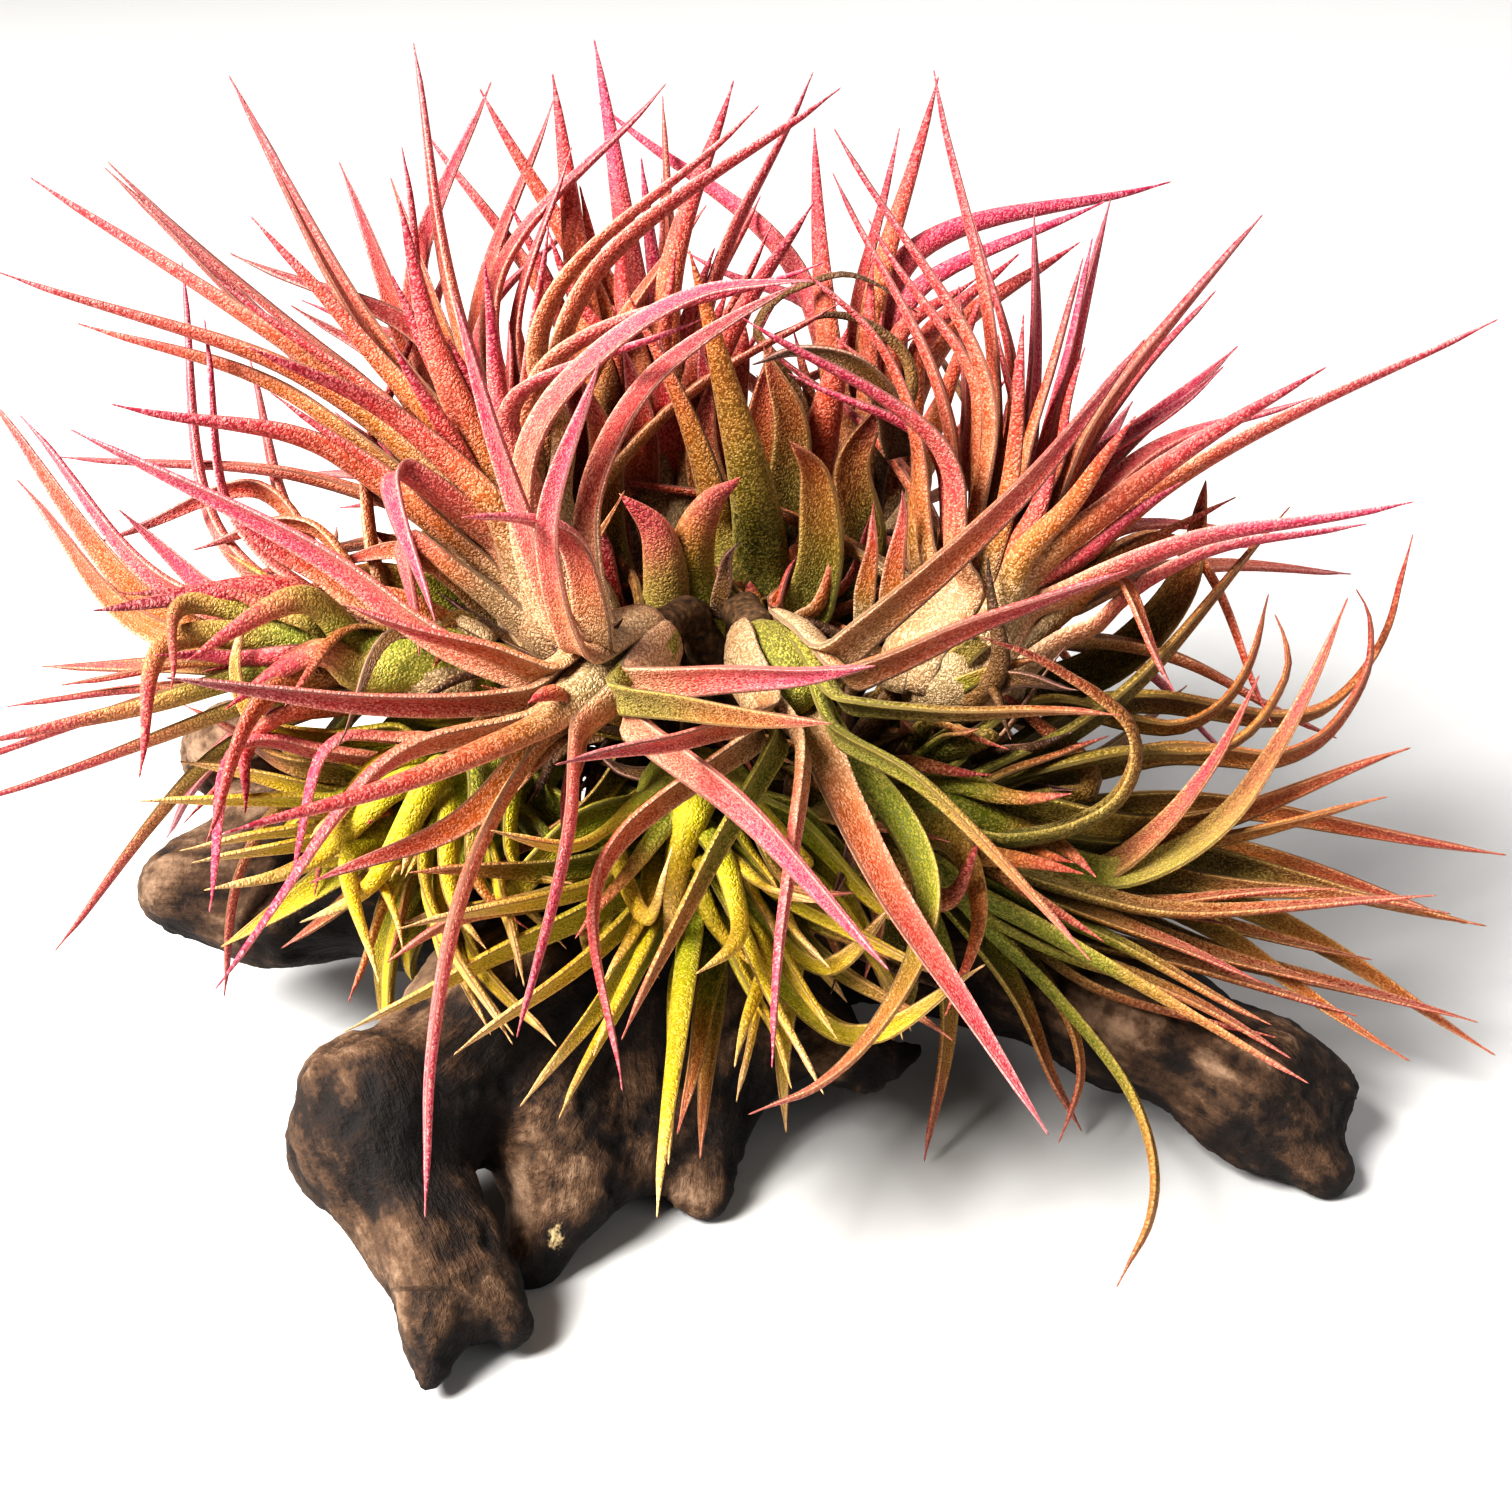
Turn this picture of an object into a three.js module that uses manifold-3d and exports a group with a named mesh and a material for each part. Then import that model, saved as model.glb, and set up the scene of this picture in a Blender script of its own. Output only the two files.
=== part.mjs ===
// Huamelula ionantha air plant: a clump of silvery rosettes blushed pink, grown together on driftwood.
// Millimetres, +Z up, -Y towards the viewer. The origin is on the floor under the middle of the whole.
import * as THREE from 'three';
import { mergeVertices } from 'three/addons/utils/BufferGeometryUtils.js';
import Module from 'manifold-3d';

const wasm = await Module();
wasm.setup();

// A leaf: its keel's depth as a share of its width, its blunt tip, and the straight stretches of its line
const keelShare = 0.42;
const tipWidth = 0.9;
const leafStretches = 5;

// A rosette's bulb of wrapped leaf bases, and how far its top rises past where the leaves fan out
const bulbRadius = 8.5;
const bulbLength = 22;
const bulbTop = 5;
const bulbSides = 8;

// The woody stem that joins the rosettes, thicker at its trunk, and the gap at each of its seats
const branchRadius = 3.4;
const trunkRadius = 4.4;
const seatGap = 0.3;

// The driftwood's surface: the size of its facets, how softly limbs join, and its swells
const woodCell = 8;
const woodBlend = 9;
const swellHeight = 1.5;
const rippleHeight = 0.9;

// Leaves of different rosettes keep this far apart, may press this far into their own neighbours,
// and keep this far off the wood and the floor. A leaf left with less than the least gap is not grown.
const leafClearance = 0.7;
const nestling = 0.4;
const woodClearance = 1.6;
const leastGap = 0.3;
const bendRounds = 120;
const settlingRounds = 15;
const pairReach = 16;

// The middle of the finished whole, seen from above, in the frame that it is laid out in
const middle = new THREE.Vector3(-1.64, 1.72, 0);

// The clump is laid out as seen from in front and above: directions across, up the view and nearer
const viewTilt = THREE.MathUtils.degToRad(30);
const across = new THREE.Vector3(1, 0, 0);
const upwards = new THREE.Vector3(0, Math.sin(viewTilt), Math.cos(viewTilt));
const nearer = new THREE.Vector3(0, -Math.cos(viewTilt), Math.sin(viewTilt));

// Each rosette: where its leaves fan out, the angle it points at and its lean to the viewer, the number
// and length of the leaves that fill its far side, how far its branch sags, and its own leaves.
// A leaf row holds its width, then the angle and distance of each point that it passes, as the viewer
// sees them from where it fans out, and last how far its tip comes nearer.
const rosettes = [
  {
    name: 'rosette_left_back',
    at: [-38, 10, 91],
    points: [118, 0],
    rear: [12, 88],
    color: 0xc4776a,
    leaves: [
      [7.5, 134, 56, 141, 114, 5],
      [7.5, 138, 56, 150, 104, 20],
      [7, 142, 43, 154, 75, 25],
      [7, 135, 56, 136, 115, -15],
      [7.5, 125, 54, 122, 108, -5],
      [7, 118, 47, 115, 93, -20],
      [7.5, 110, 51, 105, 100, -5],
      [6.5, 128, 44, 129, 81, 10],
      [6, 118, 50, 134, 85, -12],
      [7, 116, 39, 111, 69, 18],
      [8, 83, 53, 59, 101, 8],
      [7, 103, 57, 79, 96, -20],
      [7, 115, 60, 97, 98, -25],
      [6.5, 107, 52, 92, 97, -35],
      [6, 89, 35, 46, 70, 38],
      [6.5, 141, 31, 208, 18, 35],
    ],
  },
  {
    name: 'rosette_centre_back',
    at: [-18, 36, 88],
    points: [96, -12],
    rear: [11, 84],
    color: 0xb9705f,
    leaves: [
      [8, 104, 46, 101, 89, 8],
      [7, 96, 50, 98, 99, -12],
      [6.5, 90, 48, 91, 93, -25],
      [7, 91, 47, 83, 87, 0],
      [7.5, 112, 46, 119, 92, -8],
      [7, 107, 49, 112, 91, 2],
      [7, 81, 56, 74, 98, -18],
      [7, 75, 40, 68, 67, 10],
    ],
  },
  {
    name: 'rosette_right_back',
    at: [20, 46, 80],
    points: [80, -22],
    rear: [11, 80],
    color: 0xb8785e,
    leaves: [
      [6.5, 86, 50, 80, 99, -15],
      [7, 81, 61, 51, 102, -20],
      [7, 96, 46, 95, 86, -8],
      [7, 73, 46, 57, 79, -20],
      [6.5, 85, 43, 70, 59, -5],
      [7, 101, 60, 118, 107, -18],
      [4.5, 109, 36, 113, 50, 92, 54, 76, 48, 5],
      [4.5, 80, 23, 77, 38, 95, 47, 111, 46, 8],
    ],
  },
  {
    name: 'rosette_right',
    at: [39, 5, 83],
    points: [58, 4],
    rear: [12, 82],
    color: 0xc27565,
    leaves: [
      [7.5, 85, 46, 105, 90, 12],
      [7, 87, 55, 94, 100, 2],
      [7, 76, 41, 88, 77, -8],
      [6.5, 75, 46, 81, 82, -15],
      [6.5, 78, 36, 76, 69, 8],
      [6.5, 70, 46, 73, 83, -5],
      [8, 62, 48, 56, 88, 5],
      [7.5, 40, 48, 32, 101, 18],
      [7, 49, 43, 37, 75, -5],
      [7.5, 28, 39, 18, 74, 28],
      [7, 53, 41, 48, 74, -10],
      [7, 119, 16, 106, 41, 109, 57, 116, 71, 15],
      [7, 94, 15, 98, 31, 114, 46, 127, 66, 28],
      [6, 30, 40, 346, 55, -5],
      [6, 39, 35, 22, 59, -18],
    ],
  },
  {
    name: 'rosette_right_low',
    at: [24, -11, 54],
    points: [350, 12],
    rear: [10, 84],
    color: 0x8f7f45,
    leaves: [
      [7, 353, 48, 5, 89, 12],
      [6.5, 348, 38, 1, 55, 15, 68, 28, 84, 22],
      [7, 27, 46, 14, 80, 19, 97, 28, 112, -18],
      [6, 14, 50, 9, 72, 13, 84, 21, 95, 26, 96, -10],
      [8, 342, 22, 3, 40, 18, 43, 44, 36, 62, 33, 22],
      [7, 4, 56, 357, 112, -5],
      [7, 352, 54, 350, 106, 5],
      [7, 345, 49, 354, 91, 18],
      [7, 348, 59, 339, 118, -5],
      [7, 336, 59, 340, 111, 0],
      [8.5, 331, 41, 330, 81, 25],
      [7, 337, 46, 340, 85, 5],
      [7, 337, 38, 335, 73, 15],
      [7, 316, 42, 312, 61, 305, 73, 296, 79, 42],
      [7, 329, 51, 335, 90, -2],
    ],
  },
  {
    name: 'rosette_front',
    at: [-26, -24, 90],
    points: [225, 42],
    rear: [0, 70],
    color: 0xdb7f86,
    leaves: [
      [7, 231, 20, 240, 38, 249, 58, 256, 77, 72],
      [7, 202, 33, 221, 69, 48],
      [6.5, 227, 29, 217, 53, 30],
      [7.5, 318, 35, 316, 62, 62],
      [7, 359, 23, 1, 43, 50],
      [6.5, 189, 33, 181, 63, 35],
      [6.5, 169, 20, 165, 39, 25],
      [6, 103, 23, 85, 44, 58],
      [7, 112, 35, 108, 60, 40],
      [7, 104, 23, 132, 29, 45],
      [7.5, 166, 26, 156, 47, 154, 71, 154, 93, 15],
      [7, 120, 22, 105, 40, 90, 51, 74, 62, 60, 70, 30],
      [6.5, 93, 30, 82, 48, 71, 61, 63, 72, 10],
      [6.5, 262, 24, 262, 52, 60],
      [6.5, 214, 24, 206, 54, 64],
      [6, 340, 18, 346, 38, 60],
    ],
  },
  {
    name: 'rosette_front_right',
    at: [6, -24, 89],
    points: [300, 48],
    rear: [0, 70],
    color: 0xd2857a,
    leaves: [
      [7.5, 295, 38, 299, 76, 48],
      [8, 39, 40, 44, 76, 28],
      [7.5, 20, 30, 19, 53, 32],
      [6.5, 221, 39, 246, 64, 52],
      [6.5, 245, 30, 245, 59, 45],
      [7, 308, 30, 302, 41, 291, 50, 276, 60, 264, 65, 45],
      [6.5, 270, 26, 266, 56, 56],
      [6.5, 322, 26, 316, 58, 52],
      [6.5, 345, 22, 352, 48, 46],
      [6, 200, 16, 196, 36, 50],
    ],
  },
  {
    name: 'rosette_left',
    at: [-62, -2, 82],
    points: [170, 5],
    sag: 6,
    rear: [9, 76],
    color: 0xcb7f72,
    leaves: [
      [7, 168, 45, 147, 91, -5],
      [7, 165, 41, 149, 79, 0],
      [6.5, 159, 27, 173, 52, 15],
      [6.5, 146, 20, 181, 32, 28],
      [6, 131, 40, 158, 60, -12],
      [6.5, 146, 43, 120, 86, -15],
      [6.5, 187, 40, 194, 79, 5],
      [6.5, 195, 39, 198, 76, 15],
      [6, 183, 36, 185, 71, 0],
      [6, 177, 34, 178, 67, -6],
      [6, 175, 38, 208, 43, 32],
      [6.5, 195, 22, 227, 40, 34],
    ],
  },
  {
    name: 'rosette_left_low',
    at: [-51, -8, 61],
    points: [215, 30],
    rear: [6, 55],
    color: 0xa39a3c,
    leaves: [
      [6, 169, 37, 208, 44, 35],
      [6, 184, 26, 183, 52, 22],
      [6, 199, 23, 196, 46, 18],
      [5.5, 215, 22, 253, 34, 35],
      [6, 208, 9, 238, 19, 25],
      [6, 274, 25, 295, 43, 48],
      [6, 256, 20, 287, 45, 48],
      [5.5, 290, 19, 290, 37, 42],
      [6, 153, 14, 164, 26, 164, 38, 155, 44, 142, 47, 20],
      [6, 240, 22, 250, 44, 30],
      [6, 262, 20, 275, 42, 20],
      [6, 180, 24, 172, 50, 5],
      [5.5, 225, 20, 222, 42, 10],
      [5.5, 285, 16, 300, 34, 20],
    ],
  },
  {
    name: 'rosette_centre_low',
    at: [-10, -24, 61],
    points: [275, 45],
    rear: [0, 55],
    color: 0xaaa02e,
    leaves: [
      [6.5, 266, 25, 266, 54, 60],
      [6.5, 293, 21, 296, 45, 45],
      [6, 297, 25, 281, 40, 40],
      [6.5, 308, 40, 338, 50, 36],
      [6.5, 301, 20, 302, 40, 32],
      [6.5, 215, 28, 210, 64, 30],
      [6, 324, 14, 324, 24, 22],
      [6.5, 250, 22, 246, 46, 45],
      [6, 280, 24, 272, 50, 30],
      [6, 235, 22, 225, 50, 40],
      [6, 320, 20, 330, 44, 40],
      [6, 200, 20, 190, 46, 25],
      [6, 310, 26, 318, 52, 25],
    ],
  },
  {
    name: 'rosette_centre',
    at: [2, 17, 76],
    points: [92, 4],
    rear: [0, 60],
    color: 0x9a7a3e,
    leaves: [
      [9, 96, 31, 102, 66, 35],
      [8, 145, 25, 134, 38, 0],
      [7, 158, 29, 141, 37, -4],
      [9, 121, 20, 100, 32, -5],
      [9, 70, 21, 79, 37, -8],
      [6, 37, 17, 51, 30, 5],
      [6, 29, 23, 47, 35, 3],
    ],
  },
  {
    name: 'rosette_rear_left_low',
    at: [-30, 34, 58],
    points: [150, -45],
    rear: [12, 78],
    color: 0xa08a45,
    leaves: [],
  },
  {
    name: 'rosette_rear_right_low',
    at: [38, 32, 56],
    points: [20, -40],
    rear: [12, 80],
    color: 0x9c8244,
    leaves: [],
  },
];

// The driftwood's limbs: points along each one, with its radius there
const limbs = [
  [[-62, 2, 30, 16], [-30, 0, 28, 18], [6, 2, 26, 17], [42, -4, 25, 15]],
  [[-62, 2, 30, 16], [-86, 3, 32, 15], [-106, 4, 31, 9]],
  [[-66, 12, 34, 13], [-92, 24, 42, 11]],
  [[-30, -10, 28, 17], [-45, -36, 30, 16], [-60, -62, 27, 15.5], [-55, -75, 15, 11.5]],
  [[-55, -75, 15, 11.5], [-50, -91, 4, 7]],
  [[-55, -75, 15, 11.5], [-41, -85, 5, 6.5]],
  [[-24, -20, 26, 14], [-32, -50, 18, 9.5], [-33, -61, 6, 7]],
  [[-24, -20, 26, 14], [-19, -42, 15, 9], [-20, -51, 10, 6.5]],
  [[-33, -61, 6, 7], [-26, -56, 9, 7]],
  [[-4, -20, 22, 12], [-7, -42, 12, 8], [-8, -53, 4, 6.5]],
  [[12, -14, 20, 11], [20, -27, 12, 8], [27, -28, 7, 6.5]],
  [[42, -4, 25, 15], [68, -20, 19, 13], [90, -36, 14, 12.5]],
  [[90, -36, 14, 12.5], [100, -46, 4, 7.5]],
  [[90, -36, 14, 12.5], [104, -34, 11, 7]],
  [[-16, 14, 25, 14], [-21, 37, 17, 12], [-24, 54, 6, 11]],
];
const woodLow = [-126.5, -113.5, -17];
const woodHigh = [120, 78, 66];

// The trunk of the stem, from inside the wood's top upwards
const trunk = [new THREE.Vector3(-1, 2, 34), new THREE.Vector3(0, 4, 46), new THREE.Vector3(2, 7, 55)];

// A bulb's outline from its flat foot to its top, as shares of its length and radius
const bulbOutline = [[0, 0], [0, 0.42], [0.25, 0.86], [0.52, 1], [0.8, 0.8], [0.95, 0.4], [1, 0]];

// How freely each point of a leaf moves: its root is held, its outer half is free
const freedom = [0, 0.2, 0.7, 1, 1, 1];

// A place given by its angle and distance from a start as the viewer sees it, and how much nearer it is
function seen(start, angle, distance, forward) {
  const turn = THREE.MathUtils.degToRad(angle);
  return start.clone()
    .addScaledVector(across, distance * Math.cos(turn))
    .addScaledVector(upwards, distance * Math.sin(turn))
    .addScaledVector(nearer, forward);
}

// The direction that a rosette points in
function axisOf({ points: [angle, lean] }) {
  const tilt = THREE.MathUtils.degToRad(lean);
  return seen(new THREE.Vector3(), angle, Math.cos(tilt), Math.sin(tilt));
}

// Distance from a straight limb whose radius changes evenly from one end to the other
function limbDistance(x, y, z, [ax, ay, az, ar], [bx, by, bz, br]) {
  const dx = bx - ax;
  const dy = by - ay;
  const dz = bz - az;
  const along = ((x - ax) * dx + (y - ay) * dy + (z - az) * dz) / (dx * dx + dy * dy + dz * dz);
  const share = THREE.MathUtils.clamp(along, 0, 1);
  return Math.hypot(x - ax - share * dx, y - ay - share * dy, z - az - share * dz) - ar - share * (br - ar);
}

// Distance from the driftwood's skin: limbs run softly into each other, and slow swells make them uneven
function woodDistance(x, y, z) {
  let nearest = 1000;
  for (const limb of limbs) {
    for (let i = 1; i < limb.length; i++) {
      const gap = limbDistance(x, y, z, limb[i - 1], limb[i]);
      const overlap = Math.max(0, 1 - Math.abs(nearest - gap) / woodBlend);
      nearest = Math.min(nearest, gap) - overlap * overlap * woodBlend / 4;
    }
  }
  const swell = Math.sin(0.11 * x + 0.05 * z) * Math.sin(0.13 * y + 1) * Math.sin(0.12 * z + 2);
  const ripple = Math.sin(0.23 * x + 2) * Math.sin(0.19 * y - 0.17 * z);
  return nearest + swellHeight * swell + rippleHeight * ripple;
}

// Calls back for each whole-numbered place of a grid
function eachPlace([nx, ny, nz], first, visit) {
  for (let k = first; k < nz; k++) {
    for (let j = first; j < ny; j++) {
      for (let i = first; i < nx; i++) {
        visit(i, j, k);
      }
    }
  }
}

// The edges of a cell, each as its two corners
function cellEdges() {
  const edges = [];
  eachPlace([2, 2, 2], 0, (i, j, k) => {
    [[1, 0, 0], [0, 1, 0], [0, 0, 1]].forEach(([di, dj, dk]) => {
      if (i + di < 2 && j + dj < 2 && k + dk < 2) {
        edges.push([[i, j, k], [i + di, j + dj, k + dk]]);
      }
    });
  });
  return edges;
}

// The closed surface where a distance is zero: a point in each cell that it crosses, in the middle of its
// crossings, and a four-sided face round each edge that it crosses
function surfaceOf(distance, low, high, cell) {
  const counts = low.map((start, axis) => Math.ceil((high[axis] - start) / cell) + 1);
  const index = (i, j, k) => (k * counts[1] + j) * counts[0] + i;
  const values = new Float64Array(counts[0] * counts[1] * counts[2]);
  eachPlace(counts, 0, (i, j, k) => {
    values[index(i, j, k)] = distance(low[0] + i * cell, low[1] + j * cell, low[2] + k * cell);
  });
  const edges = cellEdges();
  const positions = [];
  const pointOf = new Map();
  eachPlace(counts.map((count) => count - 1), 0, (i, j, k) => {
    const sum = new THREE.Vector3();
    let crossings = 0;
    edges.forEach(([a, b]) => {
      const valueA = values[index(i + a[0], j + a[1], k + a[2])];
      const valueB = values[index(i + b[0], j + b[1], k + b[2])];
      if (valueA < 0 !== valueB < 0) {
        sum.add(new THREE.Vector3(...a).lerp(new THREE.Vector3(...b), valueA / (valueA - valueB)));
        crossings++;
      }
    });
    if (crossings > 0) {
      pointOf.set(index(i, j, k), positions.length / 3);
      sum.divideScalar(crossings).add(new THREE.Vector3(i, j, k)).multiplyScalar(cell);
      positions.push(...sum.add(new THREE.Vector3(...low)).toArray());
    }
  });
  const faces = [];
  const steps = [[1, 0, 0], [0, 1, 0], [0, 0, 1]];
  eachPlace(counts.map((count) => count - 1), 1, (i, j, k) => {
    const inside = values[index(i, j, k)] < 0;
    steps.forEach((step, axis) => {
      if (values[index(i + step[0], j + step[1], k + step[2])] < 0 === inside) {
        return;
      }
      const u = steps[(axis + 1) % 3];
      const v = steps[(axis + 2) % 3];
      const cellAt = (back, down) =>
        pointOf.get(index(...[i, j, k].map((place, n) => place - back * u[n] - down * v[n])));
      const ring = [cellAt(0, 0), cellAt(1, 0), cellAt(1, 1), cellAt(0, 1)];
      if (!inside) {
        ring.reverse();
      }
      faces.push(ring[0], ring[1], ring[2], ring[0], ring[2], ring[3]);
    });
  });
  return meshGeometry(positions, faces);
}

function meshGeometry(positions, faces) {
  const geometry = new THREE.BufferGeometry();
  geometry.setAttribute('position', new THREE.Float32BufferAttribute(positions, 3));
  geometry.setIndex(faces);
  return geometry;
}

function solidOf(geometry) {
  const bare = geometry.clone();
  bare.deleteAttribute('normal');
  bare.deleteAttribute('uv');
  const merged = mergeVertices(bare, 1e-4);
  return new wasm.Manifold(new wasm.Mesh({
    numProp: 3,
    vertProperties: new Float32Array(merged.attributes.position.array),
    triVerts: new Uint32Array(merged.index.array),
  }));
}

// The one body that a joined solid is, with the small hollows that joining seals in it filled
function oneBody(solid) {
  return solid.decompose().reduce((largest, piece) => (piece.volume() > largest.volume() ? piece : largest));
}

// The driftwood, grown by an extra thickness where it is used to cut what stands on it
function woodSolid(extra = 0) {
  return solidOf(surfaceOf((x, y, z) => woodDistance(x, y, z) - extra, woodLow, woodHigh, woodCell));
}

// The wood stands on flats cut at the floor
function cutAtFloor(solid) {
  const depth = 60;
  const below = new THREE.BoxGeometry(2 * woodHigh[0], 2 * woodHigh[0], depth);
  below.translate(0, 0, -depth / 2);
  return solid.subtract(solidOf(below));
}

// Where a bulb's flat foot lies
function bulbFoot(rosette) {
  return new THREE.Vector3(...rosette.at).addScaledVector(axisOf(rosette), bulbTop - bulbLength);
}

function bulbSolid(rosette, extra = 0) {
  const outline = bulbOutline.map(([share, radius]) => new THREE.Vector2(
    radius * bulbRadius + extra * Math.sign(radius),
    share * bulbLength + (share > 0 ? extra : -extra),
  ));
  const lathe = new THREE.LatheGeometry(outline, bulbSides);
  const turn = new THREE.Quaternion().setFromUnitVectors(new THREE.Vector3(0, 1, 0), axisOf(rosette));
  lathe.applyQuaternion(turn);
  lathe.translate(...bulbFoot(rosette).toArray());
  return solidOf(lathe);
}

// A branch of the stem: out of the trunk, higher for a higher rosette, and along the bulb's axis to its foot
function branchLine(rosette) {
  const axis = axisOf(rosette);
  const end = bulbFoot(rosette);
  const height = THREE.MathUtils.clamp((end.z - 52) / 16, 0.5, 0.95);
  const start = new THREE.CatmullRomCurve3(trunk).getPoint(height);
  const approach = end.clone().addScaledVector(axis, -8);
  const bend = start.clone().lerp(approach, 0.5);
  bend.z -= rosette.sag ?? 0;
  const line = [start, bend, approach, end.clone().addScaledVector(axis, -3), end];
  return new THREE.CatmullRomCurve3(line).getSpacedPoints(5);
}

// A round tube along a line, with flat ends
function tubeSolid(line, radius) {
  const section = new THREE.Shape().absarc(0, 0, radius, 0, 2 * Math.PI);
  const extrudePath = new THREE.CatmullRomCurve3(line);
  const options = { steps: 4, curveSegments: 3, bevelEnabled: false, extrudePath };
  return solidOf(new THREE.ExtrudeGeometry(section, options));
}

// The stem's branches joined to its trunk, and cut to seat on the wood and under each bulb
function stemSolid() {
  const joined = rosettes.reduce(
    (sum, rosette) => sum.add(tubeSolid(branchLine(rosette), branchRadius)),
    tubeSolid(trunk, trunkRadius),
  );
  return rosettes.reduce((rest, rosette) => rest.subtract(bulbSolid(rosette, seatGap)), joined)
    .subtract(woodSolid(2 * seatGap));
}

// A leaf's width along its length: drawn in at the root, then a long even taper to the tip
function leafWidthAt(leaf, share) {
  const root = 0.5 + 0.5 * Math.min(1, share / 0.2);
  return Math.max(tipWidth, leaf.width * root * (1 - share ** 1.6) ** 0.9);
}

// A leaf's centre line: from inside the bulb, lower down the wider it opens, past the bulb's shoulder,
// then through the leaf's own points
function leafLine(base, axis, waypoints) {
  const outward = waypoints[0].clone().sub(base).projectOnPlane(axis).normalize();
  const heading = waypoints[0].clone().sub(base).normalize();
  const opening = axis.angleTo(heading) / Math.PI;
  const root = base.clone().addScaledVector(axis, 2 - 14 * opening).addScaledVector(outward, 4);
  const shoulder = base.clone().addScaledVector(axis, 5 - 10 * opening).addScaledVector(heading, 8);
  return new THREE.CatmullRomCurve3([root, shoulder, ...waypoints]).getSpacedPoints(leafStretches);
}

function makeLeaf(group, width, grownFrom, line) {
  const leaf = { group, width, grownFrom, rest: line, points: line.map((point) => point.clone()) };
  leaf.radii = line.map((_, i) => 0.52 * leafWidthAt(leaf, i / leafStretches));
  return leaf;
}

function ownLeaves(rosette, group) {
  const base = new THREE.Vector3(...rosette.at);
  return rosette.leaves.map(([width, ...row]) => {
    const forward = row.at(-1);
    const count = (row.length - 1) / 2;
    const waypoints = Array.from({ length: count }, (_, i) =>
      seen(base, row[2 * i], row[2 * i + 1], forward * (i + 1) / count));
    return makeLeaf(group, width, 'row', leafLine(base, axisOf(rosette), waypoints));
  });
}

// Leaves that fill the far side: they follow the turn of a spiral and open wider one after another
function rearLeaves(rosette, group) {
  const base = new THREE.Vector3(...rosette.at);
  const axis = axisOf(rosette);
  const side = new THREE.Vector3().crossVectors(axis, nearer).normalize();
  const front = new THREE.Vector3().crossVectors(side, axis);
  const goldenTurn = Math.PI * (3 - Math.sqrt(5));
  const [count, length] = rosette.rear;
  const leaves = [];
  for (let turn = 0; leaves.length < count; turn++) {
    const around = turn * goldenTurn;
    const outward = side.clone().multiplyScalar(Math.cos(around)).addScaledVector(front, Math.sin(around));
    if (outward.dot(nearer) < -0.15) {
      const open = THREE.MathUtils.degToRad(28 + 62 * (leaves.length + 0.5) / count);
      const reach = length * (0.86 + 0.28 * ((turn * 7) % 10) / 10);
      const along = (distance, angle) => base.clone()
        .addScaledVector(axis, distance * Math.cos(angle))
        .addScaledVector(outward, distance * Math.sin(angle));
      const waypoints = [along(0.5 * reach, open), along(reach, open + 0.2)];
      leaves.push(makeLeaf(group, 7, 'spiral', leafLine(base, axis, waypoints)));
    }
  }
  return leaves;
}

// A chain of points with radii that nothing moves, for a bulb or a branch
function fixedChain(points, radii, group) {
  return { points, radii, group, fixed: true };
}

function bulbChain(rosette, group) {
  const inner = bulbOutline.slice(1, -1);
  const points = inner.map(([share]) => bulbFoot(rosette).addScaledVector(axisOf(rosette), share * bulbLength));
  return fixedChain(points, inner.map(([, radius]) => radius * bulbRadius), group);
}

// Shares along two straight stretches of the points where they come nearest
function nearestShares(a, b, c, d) {
  const u = b.clone().sub(a);
  const v = d.clone().sub(c);
  const w = a.clone().sub(c);
  const uv = u.dot(v);
  const spread = u.lengthSq() * v.lengthSq() - uv * uv;
  const crossing = (uv * v.dot(w) - v.lengthSq() * u.dot(w)) / spread;
  const first = spread > 1e-9 ? THREE.MathUtils.clamp(crossing, 0, 1) : 0.5;
  const second = THREE.MathUtils.clamp((uv * first + v.dot(w)) / v.lengthSq(), 0, 1);
  return [THREE.MathUtils.clamp((uv * second - u.dot(w)) / u.lengthSq(), 0, 1), second];
}

// Every two stretches of different chains that lie close enough to touch. Leaves of one rosette
// may touch at their roots, and a rosette's own bulb doesn't push them.
function closePairs(chains) {
  const pairs = [];
  const bounds = chains.map(({ points }) => new THREE.Box3().setFromPoints(points).expandByScalar(pairReach));
  chains.forEach((a, p) => {
    chains.slice(p + 1).forEach((b, q) => {
      const sameRosette = a.group === b.group;
      const neitherMoves = a.fixed && b.fixed;
      const ownBulb = sameRosette && (a.fixed || b.fixed);
      if (neitherMoves || ownBulb || !bounds[p].intersectsBox(bounds[p + 1 + q])) {
        return;
      }
      for (let i = sameRosette ? 1 : 0; i < a.points.length - 1; i++) {
        for (let j = sameRosette ? 1 : 0; j < b.points.length - 1; j++) {
          const halfwayA = a.points[i].clone().lerp(a.points[i + 1], 0.5);
          const halfwayB = b.points[j].clone().lerp(b.points[j + 1], 0.5);
          const lengths = a.points[i].distanceTo(a.points[i + 1]) + b.points[j].distanceTo(b.points[j + 1]);
          if (halfwayA.distanceTo(halfwayB) < lengths / 2 + pairReach) {
            pairs.push([a, i, b, j]);
          }
        }
      }
    });
  });
  return pairs;
}

// How much room two stretches lack, where along each, and the direction that parts them
function crowding([a, i, b, j], clearance) {
  const [s, t] = nearestShares(a.points[i], a.points[i + 1], b.points[j], b.points[j + 1]);
  const away = a.points[i].clone().lerp(a.points[i + 1], s);
  away.sub(b.points[j].clone().lerp(b.points[j + 1], t));
  const gap = away.length();
  const radiusA = THREE.MathUtils.lerp(a.radii[i], a.radii[i + 1], s);
  const radiusB = THREE.MathUtils.lerp(b.radii[j], b.radii[j + 1], t);
  return { s, t, lack: radiusA + radiusB + clearance - gap, away: away.divideScalar(Math.max(gap, 1e-6)) };
}

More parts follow.
